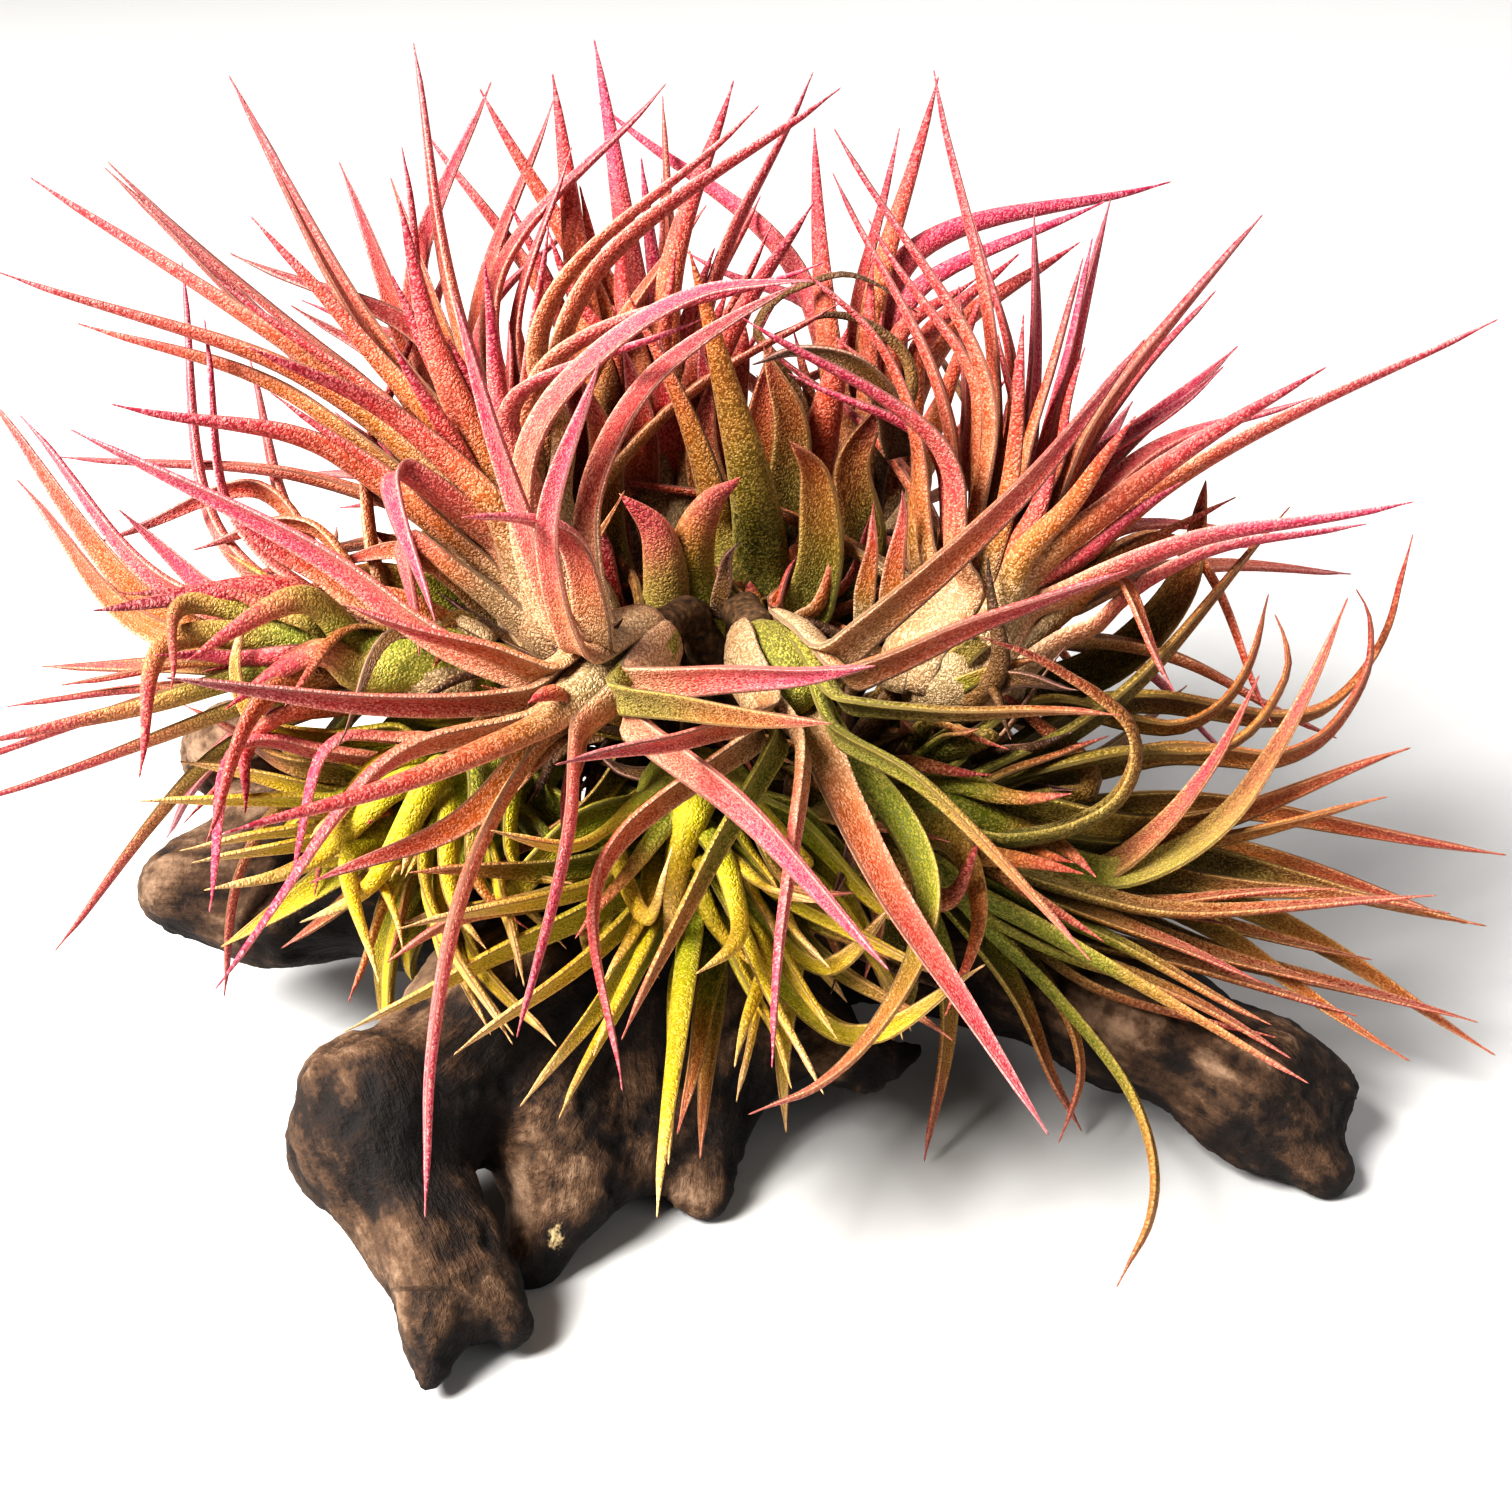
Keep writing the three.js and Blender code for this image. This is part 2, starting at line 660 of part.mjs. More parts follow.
// Adds a shift to both ends of a leaf's stretch, in proportion to where along it the shift is needed
function pushStretch(leaf, i, share, shift) {
  [[i, 1 - share], [i + 1, share]].forEach(([end, part]) => {
    leaf.hits[end]++;
    if (end > 0) {
      leaf.shifts[end].addScaledVector(shift, part);
    }
  });
}

function moveApart(pair) {
  const [a, i, b, j] = pair;
  const { s, t, lack, away } = crowding(pair, a.group === b.group ? -nestling : leafClearance);
  const easeA = a.fixed ? 0 : THREE.MathUtils.lerp(freedom[i], freedom[i + 1], s);
  const easeB = b.fixed ? 0 : THREE.MathUtils.lerp(freedom[j], freedom[j + 1], t);
  if (lack <= 0 || easeA + easeB === 0) {
    return;
  }
  if (!a.fixed) {
    pushStretch(a, i, s, away.clone().multiplyScalar(lack * easeA / (easeA + easeB)));
  }
  if (!b.fixed) {
    pushStretch(b, j, t, away.clone().multiplyScalar(-lack * easeB / (easeA + easeB)));
  }
}

function woodSlope({ x, y, z }) {
  const step = 0.5;
  return new THREE.Vector3(
    woodDistance(x + step, y, z) - woodDistance(x - step, y, z),
    woodDistance(x, y + step, z) - woodDistance(x, y - step, z),
    woodDistance(x, y, z + step) - woodDistance(x, y, z - step),
  ).normalize();
}

// Lifts a leaf's points, and the halfway points between them, off the wood, and its points off the floor
function keepOffWoodAndFloor(leaf) {
  for (let i = 1; i < leaf.points.length; i++) {
    const room = leaf.radii[i] + woodClearance;
    const point = leaf.points[i];
    const halfway = point.clone().lerp(leaf.points[i - 1], 0.5);
    [[point, 1], [halfway, 0.5]].forEach(([place, share]) => {
      const lack = room - woodDistance(place.x, place.y, place.z);
      if (lack > 0) {
        const shift = woodSlope(place).multiplyScalar(lack / Math.max(share, 1 - share));
        pushStretch(leaf, i - 1, share, shift);
      }
    });
    if (point.z < room) {
      pushStretch(leaf, i - 1, 1, new THREE.Vector3(0, 0, room - point.z));
    }
  }
}

// Spreads a leaf's bend along it, so that it stays one smooth sweep
function evenOut(leaf) {
  const bends = leaf.points.map((point, i) => point.clone().sub(leaf.rest[i]));
  for (let i = 1; i < bends.length; i++) {
    const next = bends[Math.min(i + 1, bends.length - 1)];
    const even = bends[i - 1].clone().add(next).multiplyScalar(0.15).addScaledVector(bends[i], 0.7);
    leaf.points[i].copy(leaf.rest[i]).add(even);
  }
}

// Bends every leaf clear of the other rosettes, the stem and the wood, as growing leaves do
function bendClear(leaves, obstacles) {
  let pairs = [];
  for (let round = 0; round < bendRounds; round++) {
    if (round % 10 === 0) {
      pairs = closePairs([...leaves, ...obstacles]);
    }
    leaves.forEach((leaf) => {
      leaf.shifts = leaf.points.map(() => new THREE.Vector3());
      leaf.hits = leaf.points.map(() => 0);
    });
    pairs.forEach(moveApart);
    leaves.forEach((leaf) => {
      keepOffWoodAndFloor(leaf);
      leaf.points.forEach((point, i) => {
        point.addScaledVector(leaf.shifts[i], 1 / Math.sqrt(Math.max(1, leaf.hits[i])));
      });
      if (round < bendRounds - settlingRounds) {
        evenOut(leaf);
      }
    });
  }
}

// Spiral leaves that still crowd another rosette aren't grown, the most crowded one first
function withoutCrowded(leaves, obstacles) {
  const kept = [...leaves];
  for (;;) {
    const lacks = new Map();
    closePairs([...kept, ...obstacles]).forEach((pair) => {
      const { lack } = crowding(pair, leastGap);
      if (pair[0].group !== pair[2].group && lack > 0) {
        [pair[0], pair[2]].filter((chain) => chain.grownFrom === 'spiral').forEach((leaf) => {
          lacks.set(leaf, (lacks.get(leaf) ?? 0) + lack);
        });
      }
    });
    if (lacks.size === 0) {
      return kept;
    }
    const worst = [...lacks].reduce((most, entry) => (entry[1] > most[1] ? entry : most))[0];
    kept.splice(kept.indexOf(worst), 1);
  }
}

function growLeaves() {
  const leaves = rosettes.flatMap((rosette, group) =>
    [...ownLeaves(rosette, group), ...rearLeaves(rosette, group)]);
  const noGroup = -1;
  const branches = rosettes.map((rosette) => {
    const line = branchLine(rosette);
    return fixedChain(line, line.map(() => branchRadius), noGroup);
  });
  const trunkChain = fixedChain(trunk, trunk.map(() => trunkRadius), noGroup);
  const obstacles = [...rosettes.map(bulbChain), trunkChain, ...branches];
  bendClear(leaves, obstacles);
  return withoutCrowded(leaves, obstacles);
}

// A leaf's solid: a three-cornered section, flat above with a keel below, carried along its line
function leafSolid(leaf, axis) {
  const last = leaf.points.length - 1;
  const corners = [[-1, 0.3], [1, 0.3], [0, -0.7]];
  const upper = leaf.points[0].clone().sub(leaf.points[2]).addScaledVector(axis, 30).normalize();
  const positions = [];
  const faces = [];
  leaf.points.forEach((point, i) => {
    const next = leaf.points[Math.min(last, i + 1)];
    const tangent = next.clone().sub(leaf.points[Math.max(0, i - 1)]).normalize();
    upper.projectOnPlane(tangent).normalize();
    const side = new THREE.Vector3().crossVectors(tangent, upper);
    const width = leafWidthAt(leaf, i / last);
    const depth = Math.max(width * keelShare, 0.7);
    corners.forEach(([sideways, height], k) => {
      const corner = point.clone().addScaledVector(side, sideways * width / 2);
      positions.push(...corner.addScaledVector(upper, height * depth).toArray());
      if (i > 0) {
        const here = 3 * (i - 1) + k;
        const beside = 3 * (i - 1) + (k + 1) % 3;
        faces.push(here, beside, here + 3, beside, beside + 3, here + 3);
      }
    });
  });
  faces.push(0, 2, 1, 3 * last, 3 * last + 1, 3 * last + 2);
  return solidOf(meshGeometry(positions, faces));
}

function makeMesh(name, solid, color, roughness) {
  const { vertProperties, triVerts } = oneBody(solid).getMesh();
  const geometry = meshGeometry(Array.from(vertProperties), Array.from(triVerts));
  geometry.computeVertexNormals();
  const mesh = new THREE.Mesh(geometry, new THREE.MeshStandardMaterial({ color, roughness, metalness: 0 }));
  mesh.name = name;
  return mesh;
}

const leaves = growLeaves();

// A rosette is its leaves joined to its bulb
const rosetteMeshes = rosettes.map((rosette, group) => {
  const solid = leaves.filter((leaf) => leaf.group === group)
    .reduce((sum, leaf) => sum.add(leafSolid(leaf, axisOf(rosette))), bulbSolid(rosette));
  return makeMesh(rosette.name, solid, rosette.color, 0.75);
});

const airPlant = new THREE.Group();
airPlant.add(makeMesh('driftwood', cutAtFloor(woodSolid()), 0x4a342b, 0.85));
airPlant.add(makeMesh('stem', stemSolid(), 0x6b5138, 0.85));
airPlant.add(...rosetteMeshes);
airPlant.position.copy(middle).negate();

export default airPlant;
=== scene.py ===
import math

import bpy
import numpy as np
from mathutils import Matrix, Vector, noise


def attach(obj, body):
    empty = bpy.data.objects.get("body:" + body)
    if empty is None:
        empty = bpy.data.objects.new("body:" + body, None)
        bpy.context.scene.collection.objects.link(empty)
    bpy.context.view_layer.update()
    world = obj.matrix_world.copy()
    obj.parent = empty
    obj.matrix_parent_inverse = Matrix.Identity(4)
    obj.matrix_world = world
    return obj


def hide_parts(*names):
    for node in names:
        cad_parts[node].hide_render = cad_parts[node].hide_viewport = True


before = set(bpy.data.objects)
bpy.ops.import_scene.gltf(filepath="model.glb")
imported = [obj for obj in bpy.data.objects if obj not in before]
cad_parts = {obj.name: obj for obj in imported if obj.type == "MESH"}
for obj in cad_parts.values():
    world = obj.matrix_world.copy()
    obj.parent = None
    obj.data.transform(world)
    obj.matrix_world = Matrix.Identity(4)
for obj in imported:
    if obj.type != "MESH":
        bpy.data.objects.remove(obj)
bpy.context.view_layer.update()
print("frame loaded:", len(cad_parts), "solids")

scene = bpy.context.scene
mm = 0.001

# The clump was laid out round this point of the floor, so every point shifts by it, in mm
layoutMiddle = np.array([-1.64, 1.72, 0.0])

# Directions as the photographer sees them: across, up the view, nearer
viewTilt = math.radians(30)
across = np.array([1.0, 0.0, 0.0])
upwards = np.array([0.0, math.sin(viewTilt), math.cos(viewTilt)])
nearer = np.array([0.0, -math.cos(viewTilt), math.sin(viewTilt)])

# A leaf grows from the bulb's wall. Widths, thickness and lengths in mm, curls in radians
leafForm = {
    "rings": 46,
    "around": 14,
    "widthGain": 1.15,
    "fullness": 2.0,
    "sheathWidth": 13.0,
    "sheathReach": 15.0,
    "thickness": 0.25,
    "thinnest": 1.15,
    "channelCurl": 0.85,
    "tipCurl": 1.25,
    "twist": 0.35,
    "sway": 0.5,
    "swayWaves": (5, 9),
    "tipPoint": 0.95,
    "narrowest": 0.35,
    "rootPinch": 0.35,
    "rootLength": 6,
    "heartSheath": 7.0,
    "wall": 18.0,
}

# The smaller leaves need fewer rings of points
finerForm = {"rings": 34, "around": 12}

# The bulb that the leaves wrap, in mm
bulb = {
    "radius": 8.5,
    "length": 22,
    "top": 5,
    "coreShare": 0.96,
    "outline": [(0, 0.42), (0.25, 0.86), (0.52, 1), (0.8, 0.8), (0.95, 0.4)],
}

# How the leaves bend clear of each other, the wood and the floor as they grow, in mm
growth = {
    "stretches": 5,
    "clearance": 0.7,
    "nestling": 0.4,
    "woodClearance": 1.6,
    "leastGap": 0.3,
    "rounds": 120,
    "settlingRounds": 15,
    "finerRounds": 50,
    "pairReach": 16,
    "freedom": [0, 0.2, 0.7, 1, 1, 1],
    "tipWidth": 0.9,
}

stem = {
    "branchRadius": 3.4,
    "trunkRadius": 4.4,
    "trunk": [(-1, 2, 34), (0, 4, 46), (2, 7, 55)],
    "rings": 24,
    "sides": 14,
}

# Each rosette: where its leaves fan out, the angle it points at and its lean to the viewer, the number
# and length of the leaves that fill its far side and its heart, and its own leaves. A leaf has its tone,
# its width, the angle and distance of each point that it passes, and how far its tip comes nearer.
rosettes = {
    "left_back": {
        "at": (-38, 10, 91), "points": (118, 0), "rear": (12, 88), "heart": (16, 66),
        "slot": "leaf_pink", "tones": ("blush", "amber", "blush", "rose"),
        "leaves": [
            ("blush", 7.5, 134, 56, 141, 114, 5),
            ("amber", 7.5, 138, 56, 150, 104, 20),
            ("blush", 7, 142, 43, 154, 75, 25),
            ("crimson", 7, 135, 56, 136, 115, -15),
            ("blush", 7.5, 125, 54, 122, 108, -5),
            ("amber", 7, 118, 47, 115, 93, -20),
            ("blush", 7.5, 110, 51, 105, 100, -5),
            ("amber", 6.5, 128, 44, 129, 81, 10),
            ("crimson", 6, 118, 50, 134, 85, -12),
            ("blush", 7, 116, 39, 111, 69, 18),
            ("blush", 8, 83, 53, 59, 101, 8),
            ("rose", 7, 103, 57, 79, 96, -20),
            ("blush", 7, 115, 60, 97, 98, -25),
            ("blush", 6.5, 107, 52, 92, 97, -35),
            ("rose", 6, 89, 35, 46, 70, 38),
            ("rose", 6.5, 141, 31, 208, 18, 35),
        ],
    },
    "centre_back": {
        "at": (-18, 36, 88), "points": (96, -12), "rear": (11, 84), "heart": (15, 62),
        "slot": "leaf_pink", "tones": ("blush", "amber", "amber", "rose"),
        "leaves": [
            ("blush", 8, 104, 46, 101, 89, 8),
            ("rose", 7, 96, 50, 98, 99, -12),
            ("amber", 6.5, 90, 48, 91, 93, -25),
            ("blush", 7, 91, 47, 83, 87, 0),
            ("blush", 7.5, 112, 46, 119, 92, -8),
            ("amber", 7, 107, 49, 112, 91, 2),
            ("blush", 7, 81, 56, 74, 98, -18),
            ("blush", 7, 75, 40, 68, 67, 10),
        ],
    },
    "right_back": {
        "at": (20, 46, 80), "points": (80, -22), "rear": (11, 80), "heart": (14, 56),
        "slot": "leaf_pink", "tones": ("amber", "blush", "olive", "amber"),
        "leaves": [
            ("blush", 6.5, 86, 50, 80, 99, -15),
            ("rose", 7, 81, 61, 51, 102, -20),
            ("blush", 7, 96, 46, 95, 86, -8),
            ("amber", 7, 73, 46, 57, 79, -20),
            ("blush", 6.5, 85, 43, 70, 59, -5),
            ("rose", 7, 101, 60, 118, 107, -18),
            ("withered", 3.2, 109, 36, 113, 50, 92, 54, 76, 48, 5),
            ("withered", 3.2, 80, 23, 77, 38, 95, 47, 111, 46, 8),
        ],
    },
    "right": {
        "at": (39, 5, 83), "points": (58, 4), "stout": 1.25, "rear": (12, 82), "heart": (14, 58),
        "slot": "leaf_pink", "tones": ("blush", "amber", "rose", "olive"),
        "leaves": [
            ("blush", 7.5, 85, 46, 105, 90, 12),
            ("blush", 7, 87, 55, 94, 100, 2),
            ("blush", 7, 76, 41, 88, 77, -8),
            ("rose", 6.5, 75, 46, 81, 82, -15),
            ("amber", 6.5, 78, 36, 76, 69, 8),
            ("rose", 6.5, 70, 46, 73, 83, -5),
            ("blush", 8, 62, 48, 56, 88, 5),
            ("blush", 7.5, 40, 48, 32, 101, 18),
            ("rose", 7, 49, 43, 37, 75, -5),
            ("rose", 7.5, 28, 39, 18, 74, 28),
            ("rose", 7, 53, 41, 48, 74, -10),
            ("amber", 7, 119, 16, 106, 41, 109, 57, 116, 71, 15),
            ("rose", 7, 94, 15, 98, 31, 114, 46, 127, 66, 28),
            ("amber", 6, 30, 40, 346, 55, -5),
            ("blush", 6, 39, 35, 22, 59, -18),
        ],
    },
    "right_low": {
        "at": (24, -11, 54), "points": (350, 12), "rear": (10, 84), "heart": (12, 50), "ruff": (10, 56),
        "fullness": 1.9, "slot": "leaf_olive", "tones": ("olive", "moss", "ochre", "olive"),
        "leaves": [
            ("ochre", 8, 353, 48, 5, 89, 12),
            ("dawn", 7, 348, 38, 1, 55, 15, 68, 28, 84, 22),
            ("ochre", 8.5, 27, 46, 14, 80, 19, 97, 28, 112, -18),
            ("ochre", 8, 14, 50, 9, 72, 13, 84, 21, 95, 26, 96, -10),
            ("olive", 8, 342, 22, 3, 40, 18, 43, 44, 36, 62, 33, 22),
            ("ochre", 7, 4, 56, 357, 112, -5),
            ("olive", 7, 352, 54, 350, 106, 5),
            ("olive", 7, 345, 49, 354, 91, 18),
            ("ochre", 7, 348, 59, 339, 118, -5),
            ("olive", 7, 336, 59, 340, 111, 0),
            ("moss", 8.5, 331, 41, 330, 81, 25),
            ("olive", 7, 337, 46, 340, 85, 5),
            ("moss", 7, 337, 38, 335, 73, 15),
            ("moss", 7, 316, 42, 312, 61, 305, 73, 296, 79, 42),
            ("olive", 7, 329, 51, 335, 90, -2),
        ],
    },
    "front": {
        "at": (-26, -24, 90), "points": (225, 42), "rear": (0, 70), "heart": (3, 30),
        "fullness": 2.4, "stout": 0.85, "slender": 0.86, "sisters": False,
        "slot": "leaf_pink", "tones": ("olive", "blush", "rose", "rose"),
        "leaves": [
            ("rose", 7, 231, 20, 240, 38, 249, 58, 256, 77, 72),
            ("rose", 7, 202, 33, 221, 69, 48),
            ("amber", 6.5, 227, 29, 217, 53, 30),
            ("rose", 7.5, 318, 35, 316, 62, 62),
            ("rose", 7, 359, 23, 1, 43, 50),
            ("crimson", 6.5, 189, 33, 181, 63, 35),
            ("blush", 6.5, 169, 20, 165, 39, 25),
            ("rose", 6, 103, 23, 85, 44, 58),
            ("rose", 7, 112, 35, 108, 60, 40),
            ("rose", 7, 104, 23, 132, 29, 45),
            ("rose", 7.5, 166, 26, 156, 47, 154, 71, 154, 93, 15),
            ("rose", 7, 120, 22, 105, 40, 90, 51, 74, 62, 60, 70, 30),
            ("crimson", 6.5, 93, 30, 82, 48, 71, 61, 63, 72, 10),
            ("rose", 6.5, 262, 24, 262, 52, 60),
            ("blush", 6.5, 214, 24, 206, 54, 64),
            ("olive", 6, 340, 18, 346, 38, 60),
        ],
    },
    "front_right": {
        "at": (6, -24, 89), "points": (300, 48), "rear": (0, 70), "heart": (0, 30),
        "fullness": 2.2, "stout": 0.85, "slender": 0.82, "sisters": False,
        "slot": "leaf_pink", "tones": ("olive", "blush", "rose", "amber"),
        "leaves": [
            ("blush", 7.5, 295, 38, 299, 76, 48),
            ("blush", 8, 39, 40, 44, 76, 28),
            ("blush", 7.5, 20, 30, 19, 53, 32),
            ("blush", 6.5, 221, 39, 246, 64, 52),
            ("moss", 6.5, 245, 30, 245, 59, 45),
            ("moss", 7, 308, 30, 302, 41, 291, 50, 276, 60, 264, 65, 45),
            ("rose", 6.5, 270, 26, 266, 56, 56),
            ("moss", 6.5, 322, 26, 316, 58, 52),
            ("olive", 6.5, 345, 22, 352, 48, 46),
            ("blush", 6, 200, 16, 196, 36, 50),
        ],
    },
    "left": {
        "at": (-62, -2, 82), "points": (170, 5), "sag": 6, "rear": (9, 76), "heart": (10, 46),
        "slot": "leaf_pink", "tones": ("dawn", "blush", "moss", "rose"),
        "leaves": [
            ("amber", 7, 168, 45, 147, 91, -5),
            ("rose", 7, 165, 41, 149, 79, 0),
            ("crimson", 6.5, 159, 27, 173, 52, 15),
            ("dawn", 6.5, 146, 20, 181, 32, 28),
            ("amber", 6, 131, 40, 158, 60, -12),
            ("rose", 6.5, 146, 43, 120, 86, -15),
            ("dawn", 6.5, 187, 40, 194, 79, 5),
            ("dawn", 6.5, 195, 39, 198, 76, 15),
            ("dawn", 6, 183, 36, 185, 71, 0),
            ("dawn", 6, 177, 34, 178, 67, -6),
            ("dawn", 6, 175, 38, 208, 43, 32),
            ("blush", 6.5, 195, 22, 227, 40, 34),
        ],
    },
    "left_low": {
        "at": (-51, -8, 61), "points": (215, 30), "rear": (6, 55), "heart": (10, 34), "ruff": (22, 54),
        "fullness": 2.0, "slot": "leaf_yellow", "tones": ("lime", "moss", "lime", "lime"),
        "leaves": [
            ("rose", 6, 169, 37, 208, 44, 35),
            ("lime", 6, 184, 26, 183, 52, 22),
            ("lime", 6, 199, 23, 196, 46, 18),
            ("lime", 5.5, 215, 22, 253, 34, 35),
            ("lime", 6, 208, 9, 238, 19, 25),
            ("lime", 6, 274, 25, 295, 43, 48),
            ("lime", 6, 256, 20, 287, 45, 48),
            ("lime", 5.5, 290, 19, 290, 37, 42),
            ("lime", 6, 153, 14, 164, 26, 164, 38, 155, 44, 142, 47, 20),
            ("moss", 6, 240, 22, 250, 44, 30),
            ("lime", 6, 262, 20, 275, 42, 20),
            ("lime", 6, 180, 24, 172, 50, 5),
            ("moss", 5.5, 225, 20, 222, 42, 10),
            ("lime", 5.5, 285, 16, 300, 34, 20),
        ],
    },
    "centre_low": {
        "at": (-10, -24, 61), "points": (275, 45), "rear": (0, 55), "heart": (10, 32), "ruff": (30, 56),
        "fullness": 2.0, "slot": "leaf_yellow", "tones": ("lime", "moss", "lime", "lime"),
        "leaves": [
            ("lime", 6.5, 266, 25, 266, 54, 60),
            ("lime", 6.5, 293, 21, 296, 45, 45),
            ("lime", 6, 297, 25, 281, 40, 40),
            ("lime", 6.5, 308, 40, 338, 50, 36),
            ("lime", 6.5, 301, 20, 302, 40, 32),
            ("lime", 6.5, 215, 28, 210, 64, 30),
            ("lime", 6, 324, 14, 324, 24, 22),
            ("lime", 6.5, 250, 22, 246, 46, 45),
            ("moss", 6, 280, 24, 272, 50, 30),
            ("lime", 6, 235, 22, 225, 50, 40),
            ("lime", 6, 320, 20, 330, 44, 40),
            ("moss", 6, 200, 20, 190, 46, 25),
            ("moss", 6, 310, 26, 318, 52, 25),
        ],
    },
    "centre": {
        "at": (2, 17, 76), "points": (92, 4), "rear": (0, 60), "heart": (5, 22),
        "fullness": 1.5, "slot": "leaf_olive", "tones": ("olive", "moss", "olive", "amber"),
        "leaves": [
            ("ochre", 11, 96, 31, 102, 66, 35),
            ("olive", 8, 145, 25, 134, 38, 0),
            ("amber", 7, 158, 29, 141, 37, -4),
            ("olive", 9, 121, 20, 100, 32, -5),
            ("amber", 9, 70, 21, 79, 37, -8),
            ("amber", 6, 37, 17, 51, 30, 5),
            ("amber", 6, 29, 23, 47, 35, 3),
        ],
    },
    "rear_left_low": {
        "at": (-30, 34, 58), "points": (150, -45), "rear": (12, 78), "heart": (7, 36),
        "slot": "leaf_olive", "tones": ("olive", "moss", "amber", "olive"), "leaves": [],
    },
    "rear_right_low": {
        "at": (38, 32, 56), "points": (20, -40), "rear": (12, 80), "heart": (7, 36),
        "slot": "leaf_olive", "tones": ("olive", "amber", "moss", "olive"), "leaves": [],
    },
}

# The driftwood: points along each limb with its radius there, how softly limbs join, its swells, the
# scoops and relief that weather has left, the painted light and shade on the side turned to the key lamp,
# and a painted pool of light on the slab, in mm
driftwood = {
    "limbs": [
        [(-62, 2, 30, 16), (-30, 0, 28, 18), (6, 2, 26, 17), (42, -4, 25, 15)],
        [(-62, 2, 30, 16), (-86, 3, 33, 15.5), (-107, 4, 32, 10.5)],
        [(-66, 12, 34, 13.5), (-101, 28, 47.5, 10.5)],
        [(-30, -10, 28, 17), (-45, -36, 30, 16), (-62.5, -62, 27, 17.2), (-54, -75, 15, 10.5)],
        [(-54, -75, 15, 10.5), (-52.5, -99, 3.5, 4.5)],
        [(-54, -75, 15, 10.5), (-39, -86, 5, 5)],
        [(-45, -36, 28, 14), (-54, -60, 20, 9)],
        [(-24, -20, 26, 14), (-36, -50, 20, 11.5), (-38.5, -68, 4.5, 4.2)],
        [(-24, -20, 26, 14), (-19, -42, 15, 8.5), (-20, -52, 11, 5)],
        [(-38.5, -68, 4.5, 4.2), (-28, -58, 10, 6.5)],
        [(-4, -20, 22, 12), (-7, -42, 12, 7), (-8, -54, 4, 4.5)],
        [(6, -24, 18, 13), (18, -34, 18, 8), (31, -27, 15.5, 4)],
        [(42, -4, 25, 15), (68, -20, 19, 13), (90, -36, 14, 12)],
        [(90, -36, 14, 12), (101, -47, 5, 5)],
        [(90, -36, 14, 12), (105, -34, 12, 6)],
        [(-16, 14, 25, 14), (-21, 37, 17, 12), (-24, 54, 6, 11)],
    ],
    "blend": 7,
    "swell": 1.5,
    "ripple": 0.9,
    "cell": 1.15,
    "seed": 11,
    "low": (-124, -108, -6),
    "high": (118, 74, 62),
    "chip": (-33.5, -69, 9),
    "chipSize": (1.7, 2.4, 3.6),
    "scoops": 60,
    "scoopRadius": (13, 30),
    "scoopDepth": (1.0, 3.2),
    "scoopEdge": 4.5,
    "deepestShare": 0.3,
    "carvedBand": 8,
    "wearing": 4,
    "knobSize": 24,
    "knobDepth": 1.2,
    "creaseSize": 13,
    "creaseDepth": 0.3,
    "pitSize": 5,
    "pitDepth": 1.1,
    "fibreSize": 2.2,
    "fibreStretch": 0.12,
    "fibreDepth": 0.35,
    "hollowShares": (0.35, 0.2, 0.5, 0.25),
    "floorFade": 4,
    # painted light and shade: how strongly the wood is painted lighter on the side facing the key lamp and
    # darker elsewhere, and that side
    "paintedLightStrength": 0.42,
    "paintedLightSide": (-0.7, -0.08, 0.68),
    # a painted pool of light on the slab beside the front foot: its middle and size in mm, and its strength
    "paintedLitPatch": (-31, -62, 14),
    "paintedLitPatchSize": 13,
    "paintedLitPatchStrength": 0.3,
}


# The point at an angle and a distance from another, as the photographer sees it, and this much nearer
def seen(start, angle, distance, forward):
    turn = math.radians(angle)
    sideways = across * distance * math.cos(turn)
    return start + sideways + upwards * distance * math.sin(turn) + nearer * forward


def unit(vectors):
    return vectors / np.maximum(np.linalg.norm(vectors, axis=-1, keepdims=True), 1e-9)


def axisOf(rosette):
    angle, lean = rosette["points"]
    tilt = math.radians(lean)
    return unit(seen(np.zeros(3), angle, math.cos(tilt), math.sin(tilt)))


# A smooth curve through points, sampled at even steps of its length
def smoothLine(points, steps, samples=240):
    points = np.asarray(points, float)
    padded = np.vstack([2 * points[0] - points[1], points, 2 * points[-1] - points[-2]])
    places = np.linspace(0, len(points) - 1, samples + 1)
    i = np.minimum(places.astype(int), len(points) - 2)
    t = (places - i)[:, None]
    p0, p1, p2, p3 = (padded[i + k] for k in range(4))
    d0, d1, d2 = (np.maximum(np.linalg.norm(b - a, axis=1, keepdims=True) ** 0.5, 1e-4)
                  for a, b in ((p0, p1), (p1, p2), (p2, p3)))
    m1 = d1 * ((p1 - p0) / d0 - (p2 - p0) / (d0 + d1) + (p2 - p1) / d1)
    m2 = d1 * ((p2 - p1) / d1 - (p3 - p1) / (d1 + d2) + (p3 - p2) / d2)
    curve = p1 + m1 * t + (3 * (p2 - p1) - 2 * m1 - m2) * t ** 2 + (2 * (p1 - p2) + m1 + m2) * t ** 3
    return evenSteps(curve, steps)


def evenSteps(curve, steps):
    lengths = np.concatenate([[0], np.cumsum(np.linalg.norm(np.diff(curve, axis=0), axis=1))])
    targets = np.linspace(0, lengths[-1], steps + 1)
    return np.stack([np.interp(targets, lengths, curve[:, k]) for k in range(3)], axis=1)


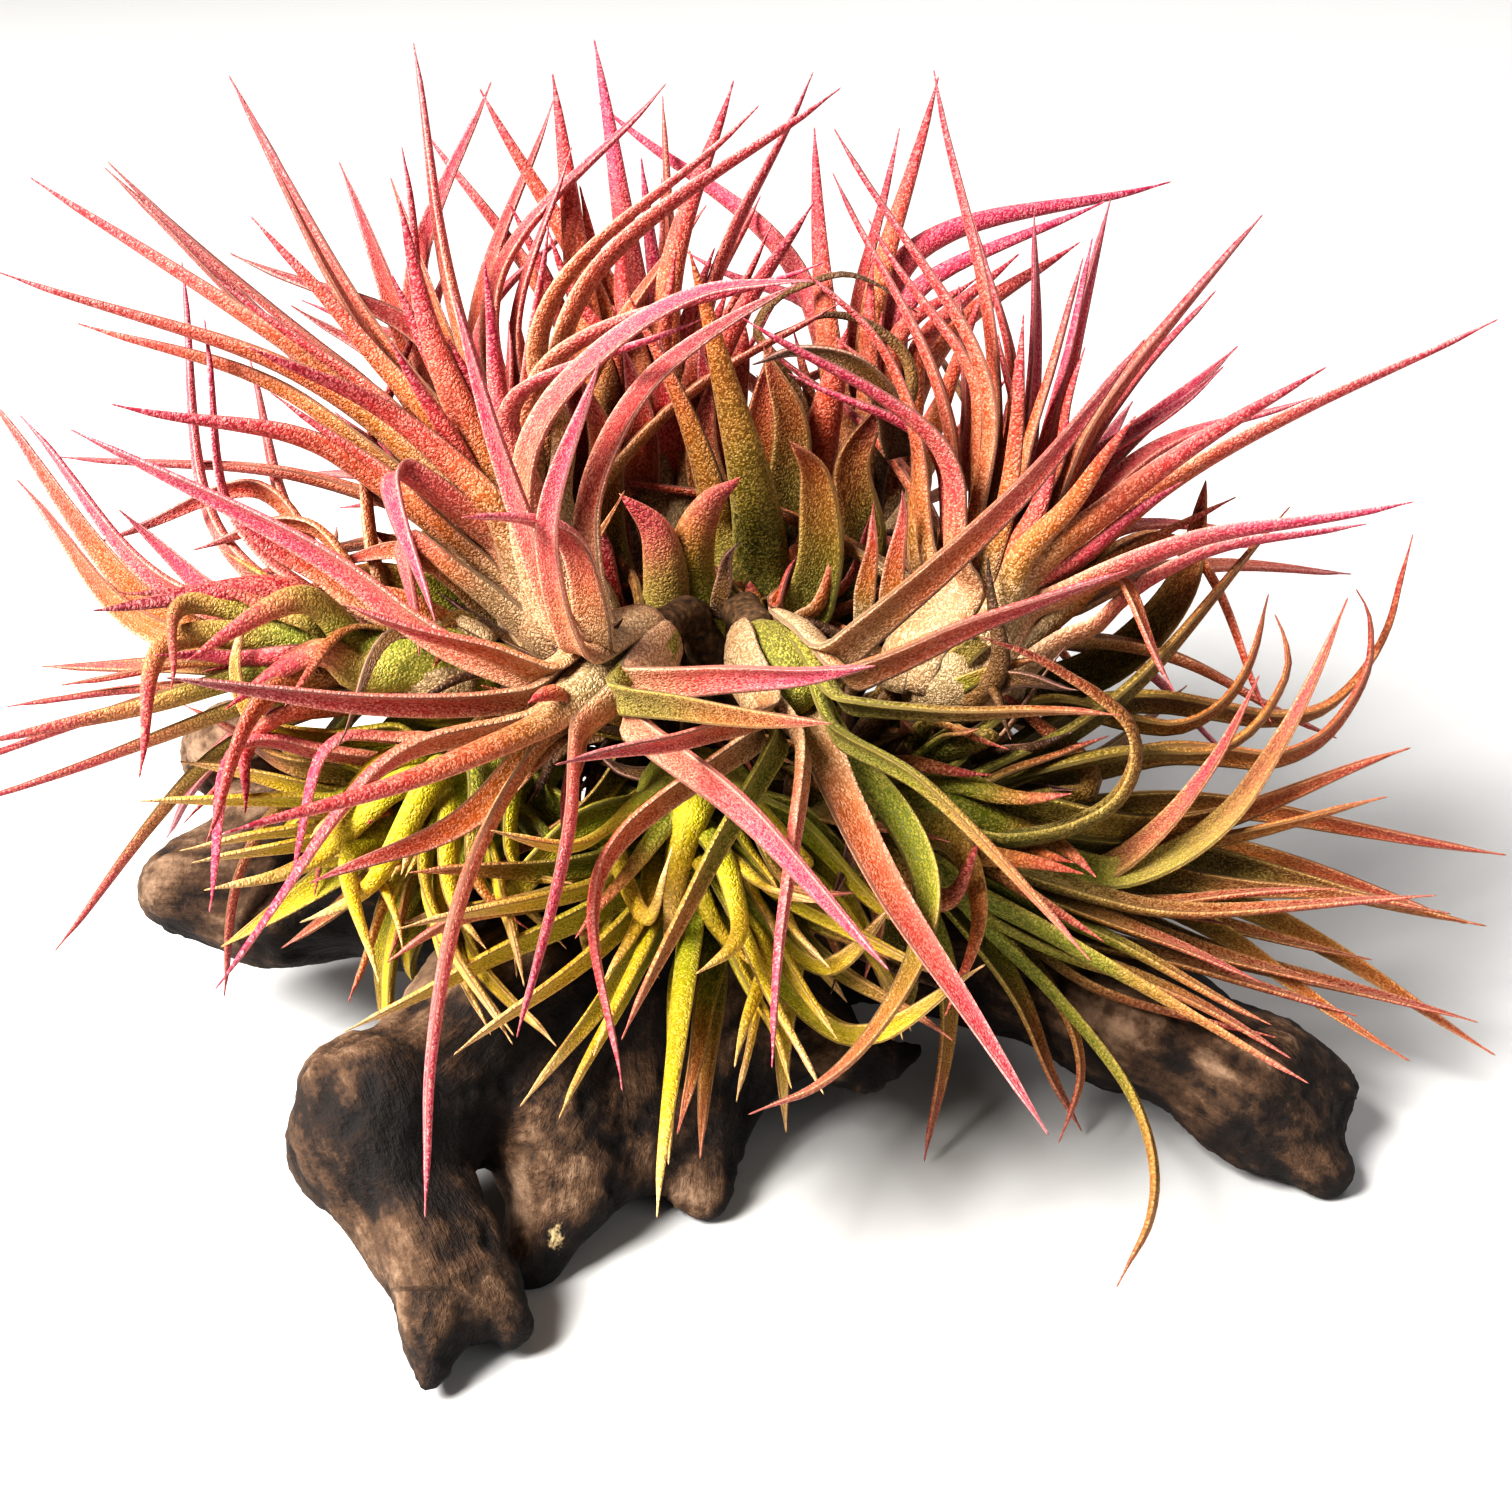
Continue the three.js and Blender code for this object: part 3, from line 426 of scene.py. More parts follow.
# Distance from the wood's skin, for many points at once
def woodDistance(points):
    x, y, z = points[..., 0], points[..., 1], points[..., 2]
    nearest = np.full(x.shape, 1000.0)
    for limb in driftwood["limbs"]:
        for start, end in zip(limb, limb[1:]):
            a, d = np.array(start[:3]), np.array(end[:3]) - np.array(start[:3])
            share = np.clip(((x - a[0]) * d[0] + (y - a[1]) * d[1] + (z - a[2]) * d[2]) / (d @ d), 0, 1)
            away = np.sqrt((x - a[0] - share * d[0]) ** 2 + (y - a[1] - share * d[1]) ** 2
                           + (z - a[2] - share * d[2]) ** 2)
            gap = away - start[3] - share * (end[3] - start[3])
            overlap = np.maximum(0, 1 - np.abs(nearest - gap) / driftwood["blend"])
            nearest = np.minimum(nearest, gap) - overlap ** 2 * driftwood["blend"] / 4
    swell = np.sin(0.11 * x + 0.05 * z) * np.sin(0.13 * y + 1) * np.sin(0.12 * z + 2)
    ripple = np.sin(0.23 * x + 2) * np.sin(0.19 * y - 0.17 * z)
    return nearest + driftwood["swell"] * swell + driftwood["ripple"] * ripple


def woodSlope(points, step=0.5):
    sides = [woodDistance(points + step * e) - woodDistance(points - step * e) for e in np.eye(3)]
    return unit(np.stack(sides, axis=-1))


def bulbFoot(rosette):
    return np.array(rosette["at"], float) + axisOf(rosette) * (bulb["top"] - bulb["length"])


def branchLine(rosette):
    axis = axisOf(rosette)
    end = bulbFoot(rosette)
    height = min(max((end[2] - 52) / 16, 0.5), 0.95)
    start = smoothLine(stem["trunk"], 200)[round(200 * height)]
    approach = end - 8 * axis
    bend = (start + approach) / 2 - np.array([0, 0, rosette.get("sag", 0)])
    return smoothLine([start, bend, approach, end - 3 * axis, end], growth["stretches"])


def leafWidthAt(width, share):
    root = 0.5 + 0.5 * np.minimum(1, share / 0.2)
    return np.maximum(growth["tipWidth"], width * root * (1 - share ** 1.6) ** 0.9)


def makeLeaf(name, tone, width, grownFrom, base, axis, waypoints):
    heading = unit(waypoints[0] - base)
    outward = unit(heading - (heading @ axis) * axis)
    opening = math.acos(np.clip(heading @ axis, -1, 1)) / math.pi
    root = base + axis * (2 - 14 * opening) + outward * 4
    shoulder = base + axis * (5 - 10 * opening) + heading * 8
    controls = [root, shoulder, *waypoints]
    return {
        "rosette": name, "tone": tone, "width": width, "grownFrom": grownFrom, "outward": outward,
        "opening": opening * math.pi, "controls": controls,
        "rest": smoothLine(controls, growth["stretches"]),
    }


def ownLeaves(name, rosette):
    base = np.array(rosette["at"], float)
    leaves = []
    for tone, width, *row in rosette["leaves"]:
        count = len(row) // 2
        waypoints = [seen(base, row[2 * i], row[2 * i + 1], row[-1] * (i + 1) / count) for i in range(count)]
        leaves.append(makeLeaf(name, tone, width, "row", base, axisOf(rosette), waypoints))
    return leaves


# How the far leaves follow each other: how far they open in degrees, and shares of their length
spiral = {"opening": 28, "openingRange": 62, "behind": -0.15, "shortest": 0.86, "lengthRange": 0.28,
          "width": 7, "tipOpening": 0.2}


# Leaves that fill the far side: they follow the turn of a spiral and open wider one after another
def spiralLeaves(name, rosette):
    base = np.array(rosette["at"], float)
    axis = axisOf(rosette)
    side = unit(np.cross(axis, nearer))
    front = np.cross(side, axis)
    count, length = rosette["rear"]
    leaves = []
    turn = 0
    while len(leaves) < count:
        around = turn * math.pi * (3 - math.sqrt(5))
        outward = side * math.cos(around) + front * math.sin(around)
        if outward @ nearer < spiral["behind"]:
            opened = math.radians(spiral["opening"] + spiral["openingRange"] * (len(leaves) + 0.5) / count)
            reach = length * (spiral["shortest"] + spiral["lengthRange"] * ((turn * 7) % 10) / 10)
            waypoints = [base + axis * r * math.cos(a) + outward * r * math.sin(a)
                         for r, a in ((0.5 * reach, opened), (reach, opened + spiral["tipOpening"]))]
            tone = rosette["tones"][turn % len(rosette["tones"])]
            leaves.append(makeLeaf(name, tone, spiral["width"], "spiral", base, axis, waypoints))
        turn += 1
    return leaves


# How the young leaves stand: how far they open in degrees and radians, their shortest share and width
heart = {"opening": 6, "openingRange": 20, "shortest": 0.6, "tipOpening": 0.12, "width": 5.2}


# Young leaves that stand in a rosette's heart, too small and too many for the solids
def heartLeaves(name, rosette):
    base = np.array(rosette["at"], float)
    axis = axisOf(rosette)
    side = unit(np.cross(axis, nearer))
    front = np.cross(side, axis)
    count, length = rosette["heart"]
    leaves = []
    for n in range(count):
        around = n * math.pi * (3 - math.sqrt(5)) + len(name)
        outward = side * math.cos(around) + front * math.sin(around)
        opened = math.radians(heart["opening"] + heart["openingRange"] * (n + 0.5) / count)
        grownBy = heart["shortest"] + 0.4 * (n + 0.5) / count
        reach = length * grownBy * (0.9 + 0.2 * ((n * 7) % 5) / 5)
        waypoints = [base + axis * r * math.cos(a) + outward * r * math.sin(a)
                     for r, a in ((0.5 * reach, opened), (reach, opened + heart["tipOpening"]))]
        tone = rosette["tones"][n % len(rosette["tones"])]
        leaves.append(makeLeaf(name, tone, heart["width"], "heart", base, axis, waypoints))
    return leaves


# How the curling leaves hang: how unevenly they stand, rise and turn, the share of the length that each
# part has, and their widths in mm
ruff = {"unevenness": 0.3, "rise": (0.2, 1.0), "reach": (0.65, 1.1), "turning": 0.35, "droop": 0.7,
        "hooking": 0.6, "firstShare": 0.35, "hookShare": 0.3, "widths": (5.2, 7.0), "leastClearance": 1.5,
        "woodRoom": 3.0}


# Curling leaves that hang round a low rosette and lie over the wood, too tangled for the solids
def ruffLeaves(name, rosette):
    count, length = rosette.get("ruff", (0, 0))
    base = np.array(rosette["at"], float)
    axis = axisOf(rosette)
    random = np.random.default_rng(count + len(name))
    leaves = []
    for n in range(count):
        around = 2 * math.pi * (n + random.uniform(-ruff["unevenness"], ruff["unevenness"])) / count
        outward = unit(across * math.cos(around) + nearer * math.sin(around) - axis * 0.2)
        heading = unit(outward + axis * random.uniform(*ruff["rise"]))
        reach = length * random.uniform(*ruff["reach"])
        turned = unit(heading + random.normal(0, ruff["turning"], 3) - [0, 0, ruff["droop"]])
        hooked = unit(turned + random.normal(0, ruff["hooking"], 3))
        first = base + heading * reach * ruff["firstShare"]
        second = first + turned * reach * ruff["firstShare"]
        waypoints = [first, second, second + hooked * reach * ruff["hookShare"]]
        tone = rosette["tones"][n % len(rosette["tones"])]
        width = random.uniform(*ruff["widths"])
        leaves.append(makeLeaf(name, tone, width, "ruff", base, axis, waypoints))
    return leaves


# Pushes a line off the wood and the floor, and smooths it as it goes
def clearOfWood(line, room, rounds=8):
    for _ in range(rounds):
        lack = np.maximum(0, room - woodDistance(line))
        lack[:4] = 0
        line = line + woodSlope(line) * lack[:, None]
        line[4:, 2] = np.maximum(line[4:, 2], room)
        line[1:-1] = 0.25 * (line[:-2] + line[2:]) + 0.5 * line[1:-1]
    return line


# How a young sister differs: its turn round the rosette in radians, and its shares of length, spread, width
sister = {"turn": (0.25, 0.5), "size": (0.66, 0.96), "spread": 0.92, "width": 0.9}


# A grown leaf's young sister beside it, shorter and more upright, for the rosettes' full depth
def sisterLeaves(name, rosette, seed):
    random = np.random.default_rng(seed)
    base = np.array(rosette["at"], float)
    axis = axisOf(rosette)
    leaves = []
    for leaf in ownLeaves(name, rosette):
        if leaf["tone"] == "withered":
            continue
        turn = random.uniform(*sister["turn"]) * random.choice([-1, 1])
        size = random.uniform(*sister["size"])
        waypoints = []
        for point in leaf["controls"][2:]:
            away = point - base
            rise = (away @ axis) * axis
            flat = (away - rise) * math.cos(turn) + np.cross(axis, away - rise) * math.sin(turn)
            waypoints.append(base + size * (rise + sister["spread"] * flat))
        width = leaf["width"] * sister["width"]
        leaves.append(makeLeaf(name, leaf["tone"], width, "sister", base, axis, waypoints))
    return leaves


# All the stretches of leaves, bulbs and branches in one table, so that they can be compared at once.
# A bulb doesn't push its own rosette's leaves.
def stretchTable(leaves, chains, groupOf):
    perLeaf = growth["stretches"] + 1
    rows = [(n * perLeaf + i, n, i, groupOf[leaf["rosette"]], False, False)
            for n, leaf in enumerate(leaves) for i in range(growth["stretches"])]
    offset = len(leaves) * perLeaf
    for n, (line, radii, group, isBulb) in enumerate(chains):
        rows += [(offset + i, len(leaves) + n, i, group, True, isBulb) for i in range(len(line) - 1)]
        offset += len(line)
    return [np.array(column) for column in zip(*rows)]


def closePairs(points, table):
    starts, chain, order, group, fixed, isBulb = table
    halfway = (points[starts] + points[starts + 1]) / 2
    length = np.linalg.norm(points[starts + 1] - points[starts], axis=1)
    p, q = np.triu_indices(len(starts), 1)
    keep = ~(fixed[p] & fixed[q])
    p, q = p[keep], q[keep]
    reach = (length[p] + length[q]) / 2 + growth["pairReach"]
    near = np.linalg.norm(halfway[p] - halfway[q], axis=1) < reach
    p, q = p[near], q[near]
    same = group[p] == group[q]
    keep = (chain[p] != chain[q]) & ~(same & (isBulb[p] | isBulb[q]))
    keep &= ~same | ((order[p] >= 1) & (order[q] >= 1))
    return p[keep], q[keep]


def crowding(points, radii, table, pairs, clearance):
    starts = table[0]
    a, c = starts[pairs[0]], starts[pairs[1]]
    u, v, w = points[a + 1] - points[a], points[c + 1] - points[c], points[a] - points[c]
    uu, vv, uv = (u * u).sum(1), (v * v).sum(1), (u * v).sum(1)
    uw, vw = (u * w).sum(1), (v * w).sum(1)
    spread = uu * vv - uv * uv
    first = np.where(spread > 1e-9, np.clip((uv * vw - vv * uw) / np.maximum(spread, 1e-9), 0, 1), 0.5)
    t = np.clip((uv * first + vw) / vv, 0, 1)
    s = np.clip((uv * t - uw) / uu, 0, 1)
    away = points[a] + u * s[:, None] - points[c] - v * t[:, None]
    gap = np.linalg.norm(away, axis=1)
    radiusA = radii[a] * (1 - s) + radii[a + 1] * s
    radiusB = radii[c] * (1 - t) + radii[c + 1] * t
    return a, c, s, t, radiusA + radiusB + clearance - gap, away / np.maximum(gap, 1e-6)[:, None]


# Adds a shift to both ends of each stretch, in proportion to where along it the shift is needed
def pushStretches(shifts, hits, order, starts, share, shift):
    for step, part in ((0, 1 - share), (1, share)):
        np.add.at(hits, starts + step, 1)
        moves = (order + step > 0)[:, None] * part[:, None] * shift
        np.add.at(shifts, starts + step, moves)


def bendClear(leaves, chains, groupOf, rounds, pairsEvery):
    perLeaf = growth["stretches"] + 1
    table = stretchTable(leaves, chains, groupOf)
    rest = np.array([leaf["rest"] for leaf in leaves])
    shares = np.arange(perLeaf) / growth["stretches"]
    radii = np.array([0.52 * leafWidthAt(leaf["width"], shares) for leaf in leaves])
    points = np.concatenate([rest.reshape(-1, 3)] + [np.array(chain[0], float) for chain in chains])
    allRadii = np.concatenate([radii.ravel()] + [np.array(chain[1], float) for chain in chains])
    movable = len(leaves) * perLeaf
    freedom = np.array(growth["freedom"])
    _, _, order, group, fixed, _ = table
    for turn in range(rounds):
        if turn % pairsEvery == 0:
            pairs = closePairs(points, table)
            same = group[pairs[0]] == group[pairs[1]]
            clearance = np.where(same, -growth["nestling"], growth["clearance"])
        shifts = np.zeros_like(points)
        hits = np.zeros(len(points))
        a, c, s, t, lack, away = crowding(points, allRadii, table, pairs, clearance)
        orderA, orderB = order[pairs[0]], order[pairs[1]]
        easeA = np.where(fixed[pairs[0]], 0, freedom[orderA] * (1 - s) + freedom[orderA + 1] * s)
        easeB = np.where(fixed[pairs[1]], 0, freedom[orderB] * (1 - t) + freedom[orderB + 1] * t)
        push = (lack > 0) & (easeA + easeB > 0)
        ease = np.maximum(easeA + easeB, 1e-9)
        for near, starting, share, turnEase, sign in ((0, a, s, easeA, 1), (1, c, t, easeB, -1)):
            use = push & ~fixed[pairs[near]]
            amount = (sign * lack * turnEase / ease)[use, None] * away[use]
            pushStretches(shifts, hits, order[pairs[near]][use], starting[use], share[use], amount)
        keepOffWoodAndFloor(points, allRadii, shifts, hits, len(leaves))
        points[:movable] += shifts[:movable] / np.sqrt(np.maximum(1, hits[:movable]))[:, None]
        if turn < rounds - growth["settlingRounds"]:
            evenOut(points[:movable].reshape(rest.shape), rest)
    for n, leaf in enumerate(leaves):
        leaf["radii"] = radii[n]
        leaf["bends"] = points[n * perLeaf:(n + 1) * perLeaf] - leaf["rest"]
    return points, allRadii, table


def keepOffWoodAndFloor(points, radii, shifts, hits, leafCount):
    perLeaf = growth["stretches"] + 1
    ends = (np.arange(leafCount)[:, None] * perLeaf + np.arange(1, perLeaf)).ravel()
    room = radii[ends] + growth["woodClearance"]
    order = np.tile(np.arange(growth["stretches"]), leafCount)
    for places, share in ((points[ends], 1.0), ((points[ends] + points[ends - 1]) / 2, 0.5)):
        lack = room - woodDistance(places)
        use = lack > 0
        if use.any():
            shift = woodSlope(places[use]) * (lack[use] / max(share, 1 - share))[:, None]
            pushStretches(shifts, hits, order[use], ends[use] - 1, np.full(use.sum(), share), shift)
    low = points[ends, 2] < room
    lift = np.zeros((low.sum(), 3))
    lift[:, 2] = (room - points[ends, 2])[low]
    pushStretches(shifts, hits, order[low], ends[low] - 1, np.ones(low.sum()), lift)


def evenOut(points, rest):
    bends = points - rest
    following = np.concatenate([bends[:, 2:], bends[:, -1:]], axis=1)
    points[:, 1:] = rest[:, 1:] + 0.15 * (bends[:, :-1] + following) + 0.7 * bends[:, 1:]


# Spiral leaves that still crowd another rosette aren't grown, the most crowded one first
def keptLeaves(leaves, points, radii, table):
    pairs = closePairs(points, table)
    lack = crowding(points, radii, table, pairs, growth["leastGap"])[4]
    _, chain, _, group, _, _ = table
    use = (group[pairs[0]] != group[pairs[1]]) & (lack > 0)
    first, second, lack = chain[pairs[0]][use], chain[pairs[1]][use], lack[use]
    isSpiral = np.array([n < len(leaves) and leaves[n]["grownFrom"] == "spiral"
                         for n in range(chain.max() + 1)])
    kept = np.ones(len(isSpiral), bool)
    while True:
        both = kept[first] & kept[second]
        total = np.zeros(len(isSpiral))
        np.add.at(total, first[both], lack[both] * isSpiral[first[both]])
        np.add.at(total, second[both], lack[both] * isSpiral[second[both]])
        if total.max() <= 0:
            return [leaf for n, leaf in enumerate(leaves) if kept[n]]
        kept[total.argmax()] = False


def growLeaves():
    groupOf = {name: n for n, name in enumerate(rosettes)}
    leaves = [leaf for name, rosette in rosettes.items()
              for leaf in ownLeaves(name, rosette) + spiralLeaves(name, rosette)]
    chains = [(stem["trunk"], [stem["trunkRadius"]] * 3, -1, False)]
    for name, rosette in rosettes.items():
        foot, axis = bulbFoot(rosette), axisOf(rosette)
        line = [foot + axis * share * bulb["length"] for share, _ in bulb["outline"]]
        radii = [radius * bulb["radius"] for _, radius in bulb["outline"]]
        chains.append((line, radii, groupOf[name], True))
        branch = branchLine(rosette)
        chains.append((branch, [stem["branchRadius"]] * len(branch), -1, False))
    points, radii, table = bendClear(leaves, chains, groupOf, growth["rounds"], 10)
    grown = keptLeaves(leaves, points, radii, table)
    print("leaves of the solids grown:", len(grown))
    chains += [(leaf["rest"] + leaf["bends"], leaf["radii"], groupOf[leaf["rosette"]], False)
               for leaf in grown]
    finer = [leaf for n, (name, rosette) in enumerate(rosettes.items())
             for leaf in heartLeaves(name, rosette) + ruffLeaves(name, rosette)
             + (sisterLeaves(name, rosette, n) if rosette.get("sisters", True) else [])]
    bendClear(finer, chains, groupOf, growth["finerRounds"], 20)
    print("finer leaves grown:", len(finer))
    return grown, finer


grownLeaves, finerLeaves = growLeaves()


# The sheath's way up the bulb: heights of its foot and belly in mm, with what inner leaves add to them, and
# the openings in degrees between which a leaf counts as an outer one
sheathPath = {"samples": 48, "foot": 2, "innerFoot": 7, "footReach": 0.72, "belly": 10, "innerBelly": 4,
              "innermost": 8, "openings": 45}


# A leaf's whole line in the dressed part: up the bulb's wall as a sheath, then out along its bent line
def dressedLine(leaf, rings):
    rosette = rosettes[leaf["rosette"]]
    axis, foot = axisOf(rosette), bulbFoot(rosette)
    fine = smoothLine(leaf["controls"], sheathPath["samples"])
    fine = fine + smoothValues(leaf["bends"], np.linspace(0, 1, len(fine)))
    shoulder = np.linalg.norm(leaf["controls"][1] - leaf["controls"][0])
    total = np.linalg.norm(np.diff(fine, axis=0), axis=1).sum()
    past = max(2, round(sheathPath["samples"] * shoulder / total) + 1)
    opening = math.degrees(leaf["opening"])
    layer = np.clip((opening - sheathPath["innermost"]) / sheathPath["openings"], 0, 1)
    wall = bulb["radius"] * (0.5 + 0.5 * layer) * rosette.get("stout", 1)
    footHeight = sheathPath["foot"] + sheathPath["innerFoot"] * (1 - layer)
    bellyHeight = sheathPath["belly"] + sheathPath["innerBelly"] * (1 - layer)
    low = foot + axis * footHeight + leaf["outward"] * wall * sheathPath["footReach"]
    belly = foot + axis * bellyHeight + leaf["outward"] * wall
    line = smoothLine([low, belly, *fine[past::4], fine[-1]], rings)
    return clearOfWood(line, ruff["woodRoom"]) if leaf["grownFrom"] == "ruff" else line


def smoothValues(values, places):
    t = places * (len(values) - 1)
    i = np.minimum(t.astype(int), len(values) - 2)
    f = (t - i)[:, None]
    before = values[np.maximum(i - 1, 0)]
    after = values[np.minimum(i + 2, len(values) - 1)]
    a, b = values[i], values[i + 1]
    return a + 0.5 * f * (b - before + f * (2 * before - 5 * a + 4 * b - after
                                            + f * (3 * (a - b) + after - before)))


# The surfaces of many leaves at once: a channelled section carried along each line, with its hollow side
# turned inward at the root. Sheaths wrap the bulb for the length of its wall.
def leafSurfaces(lines, inward, widths, sheaths, wall, fullness, around, seed):
    random = np.random.default_rng(seed)
    count, rings = lines.shape[:2]
    run = np.linspace(0, 1, rings)[None, :, None]
    phase = random.uniform(0, 2 * math.pi, (count, 1, 3))
    sway = leafForm["sway"] * np.clip((run - 0.25) * 2, 0, 1)
    lines = lines + sway * np.sin(phase + run * random.uniform(*leafForm["swayWaves"], (count, 1, 3)))
    tangents = unit(np.gradient(lines, axis=1))
    upper = np.repeat(inward[:, None], rings, axis=1)
    for i in range(rings):
        carried = upper[:, max(i - 1, 0)]
        upper[:, i] = unit(carried - (carried * tangents[:, i]).sum(-1, keepdims=True) * tangents[:, i])
    side = np.cross(tangents, upper)
    turn = leafForm["twist"] * random.uniform(-1, 1, (count, 1, 1)) * np.clip((run - 0.2) / 0.8, 0, 1)
    twisted = upper * np.cos(turn) + side * np.sin(turn)
    side = side * np.cos(turn) - upper * np.sin(turn)
    upper = twisted
    lengths = np.linalg.norm(np.diff(lines, axis=1), axis=2).sum(1)[:, None]
    distance = run[..., 0] * lengths
    share = np.clip((distance - wall * 0.8) / (lengths - wall * 0.8), 0, 1)
    narrow = (1 - share ** fullness[:, None]) ** leafForm["tipPoint"]
    flare = np.clip(1 - distance / (wall + leafForm["sheathReach"]), 0, 1) ** 1.5
    width = widths[:, None] * narrow * (1 - flare) + sheaths[:, None] * flare
    width = np.maximum(width, leafForm["narrowest"])
    width = width * (1 - leafForm["rootPinch"] * np.clip(1 - distance / leafForm["rootLength"], 0, 1))
    thick = np.maximum(width * leafForm["thickness"], np.minimum(width * 0.8, leafForm["thinnest"]))
    curl = leafForm["channelCurl"] + (leafForm["tipCurl"] - leafForm["channelCurl"]) * share
    curl = curl * (1 - flare) + flare * sheaths[:, None] / 2 / bulb["radius"]
    bend = (curl / (width / 2))[..., None]
    angles = 2 * math.pi * np.arange(around) / around
    s, v = np.cos(angles), np.sin(angles)
    a = (width / 2)[..., None] * s
    half = v * thick[..., None] / 2
    sideways = np.sin(bend * a) / bend - np.sin(bend * a) * half
    height = (1 - np.cos(bend * a)) / bend + np.cos(bend * a) * half
    height = height - (1 - np.cos(curl))[..., None] / bend / 2
    flat = lines[:, :, None] + side[:, :, None] * sideways[..., None]
    surface = flat + upper[:, :, None] * height[..., None]
    return {
        "surface": surface, "tips": lines[:, -1] + tangents[:, -1] * 0.6, "along": share,
        "distance": distance, "s": s, "v": v, "width": width, "blush": random.uniform(0, 1, count),
    }


def meshObject(name, vertices, faces, attributes, materials, materialOf=None):
    mesh = bpy.data.meshes.new(name)
    mesh.from_pydata(((np.asarray(vertices) - layoutMiddle) * mm).tolist(), [], faces)
    for label, values in attributes.items():
        values = np.asarray(values, float)
        kind = "FLOAT" if values.ndim == 1 else "FLOAT_VECTOR"
        attribute = mesh.attributes.new(label, kind, "POINT")
        attribute.data.foreach_set("value" if values.ndim == 1 else "vector", values.ravel())
    for material in materials:
        mesh.materials.append(material)
    if materialOf is not None:
        mesh.polygons.foreach_set("material_index", np.asarray(materialOf, np.int32))
    mesh.polygons.foreach_set("use_smooth", [True] * len(mesh.polygons))
    mesh.update()
    piece = bpy.data.objects.new(name, mesh)
    scene.collection.objects.link(piece)
    return piece


def toLinear(hexColour):
    channels = [int(hexColour[i:i + 2], 16) / 255 for i in (1, 3, 5)]
    return [c / 12.92 if c <= 0.04045 else ((c + 0.055) / 1.055) ** 2.4 for c in channels] + [1.0]


def addNode(tree, kind, settings=None, inputs=None):
    node = tree.nodes.new(kind)
    for key, value in (settings or {}).items():
        setattr(node, key, value)
    for key, value in (inputs or {}).items():
        if isinstance(value, bpy.types.NodeSocket):
            tree.links.new(value, node.inputs[key])
        else:
            node.inputs[key].default_value = value
    return node


def setStops(node, stops):
    ramp = node.color_ramp
    while len(ramp.elements) < len(stops):
        ramp.elements.new(0.5)
    for element, (position, colour) in zip(ramp.elements, stops):
        element.position = position
        element.color = toLinear(colour)
    return node.outputs["Color"]


def newMaterial(name):
    material = bpy.data.materials.new(name)
    material.use_nodes = True
    tree = material.node_tree
    tree.nodes.clear()
    return material, tree


# Living leaf skin, as it grew: waxy tissue under a coat of pale scale hairs, so that it looks matt and
# frosted, with colour showing between the hairs. Tones run from the sheath to the tip.
tones = {
    "blush": ["#665210", "#a06418", "#c05a2a", "#c83a40", "#ac2442"],
    "amber": ["#604e08", "#96660c", "#bc6416", "#c4462a", "#b02a3e"],
    "rose": ["#88602c", "#ba6a3c", "#ce5050", "#cc345a", "#b22450"],
    "crimson": ["#643c12", "#9a4018", "#b2282a", "#9c1a2e", "#761026"],
    "olive": ["#343602", "#4a4c02", "#645206", "#8c4612", "#982c32"],
    "moss": ["#445204", "#5e6e04", "#7e800c", "#b07034", "#c0505a"],
    "lime": ["#5c7202", "#94a404", "#c0b404", "#d0ae0c", "#e0ba80"],
    "dawn": ["#6c7a1c", "#8e9038", "#a88a48", "#c4505a", "#b02648"],
    "ochre": ["#3e4002", "#5c5604", "#7e6208", "#aa5a18", "#b23a38"],
    "withered": ["#2a190a", "#563a1a", "#84602e", "#624424", "#362210"],
}

# Pale scale hairs: their colour at a leaf's root and tip, for pink and for green leaves. Sizes in mm.
leafSkin = {
    "toneStops": (0.0, 0.18, 0.42, 0.72, 1.0),
    "cloudSize": 12,
    "cloudShift": 0.3,
    "leafShift": 0.24,
    "hairSpacing": 0.4,
    "jitterSize": 0.6,
    "patchSize": 2.0,
    "patchCover": (0.45, 1.3),
    "rootFilm": 0.2,
    "edgeCover": 0.45,
    "hairOnPink": ("#e8c8a2", "#f4b6b0"),
    "hairOnGreen": ("#c8be58", "#e8ac88"),
    "greenTones": ("olive", "moss", "lime", "dawn", "ochre"),
    "bareTones": ("withered",),
    "bareShare": 0.25,
    "hairCover": 0.46,
    "rootCover": 0.85,
    "streakWidth": 0.55,
    "roughness": 0.52,
    "ior": 1.45,
    "sheen": 0.22,
    "sheenRoughness": 0.35,
    "sheenTint": "#ffdcb8",
    "bumpHeight": 0.22,
}


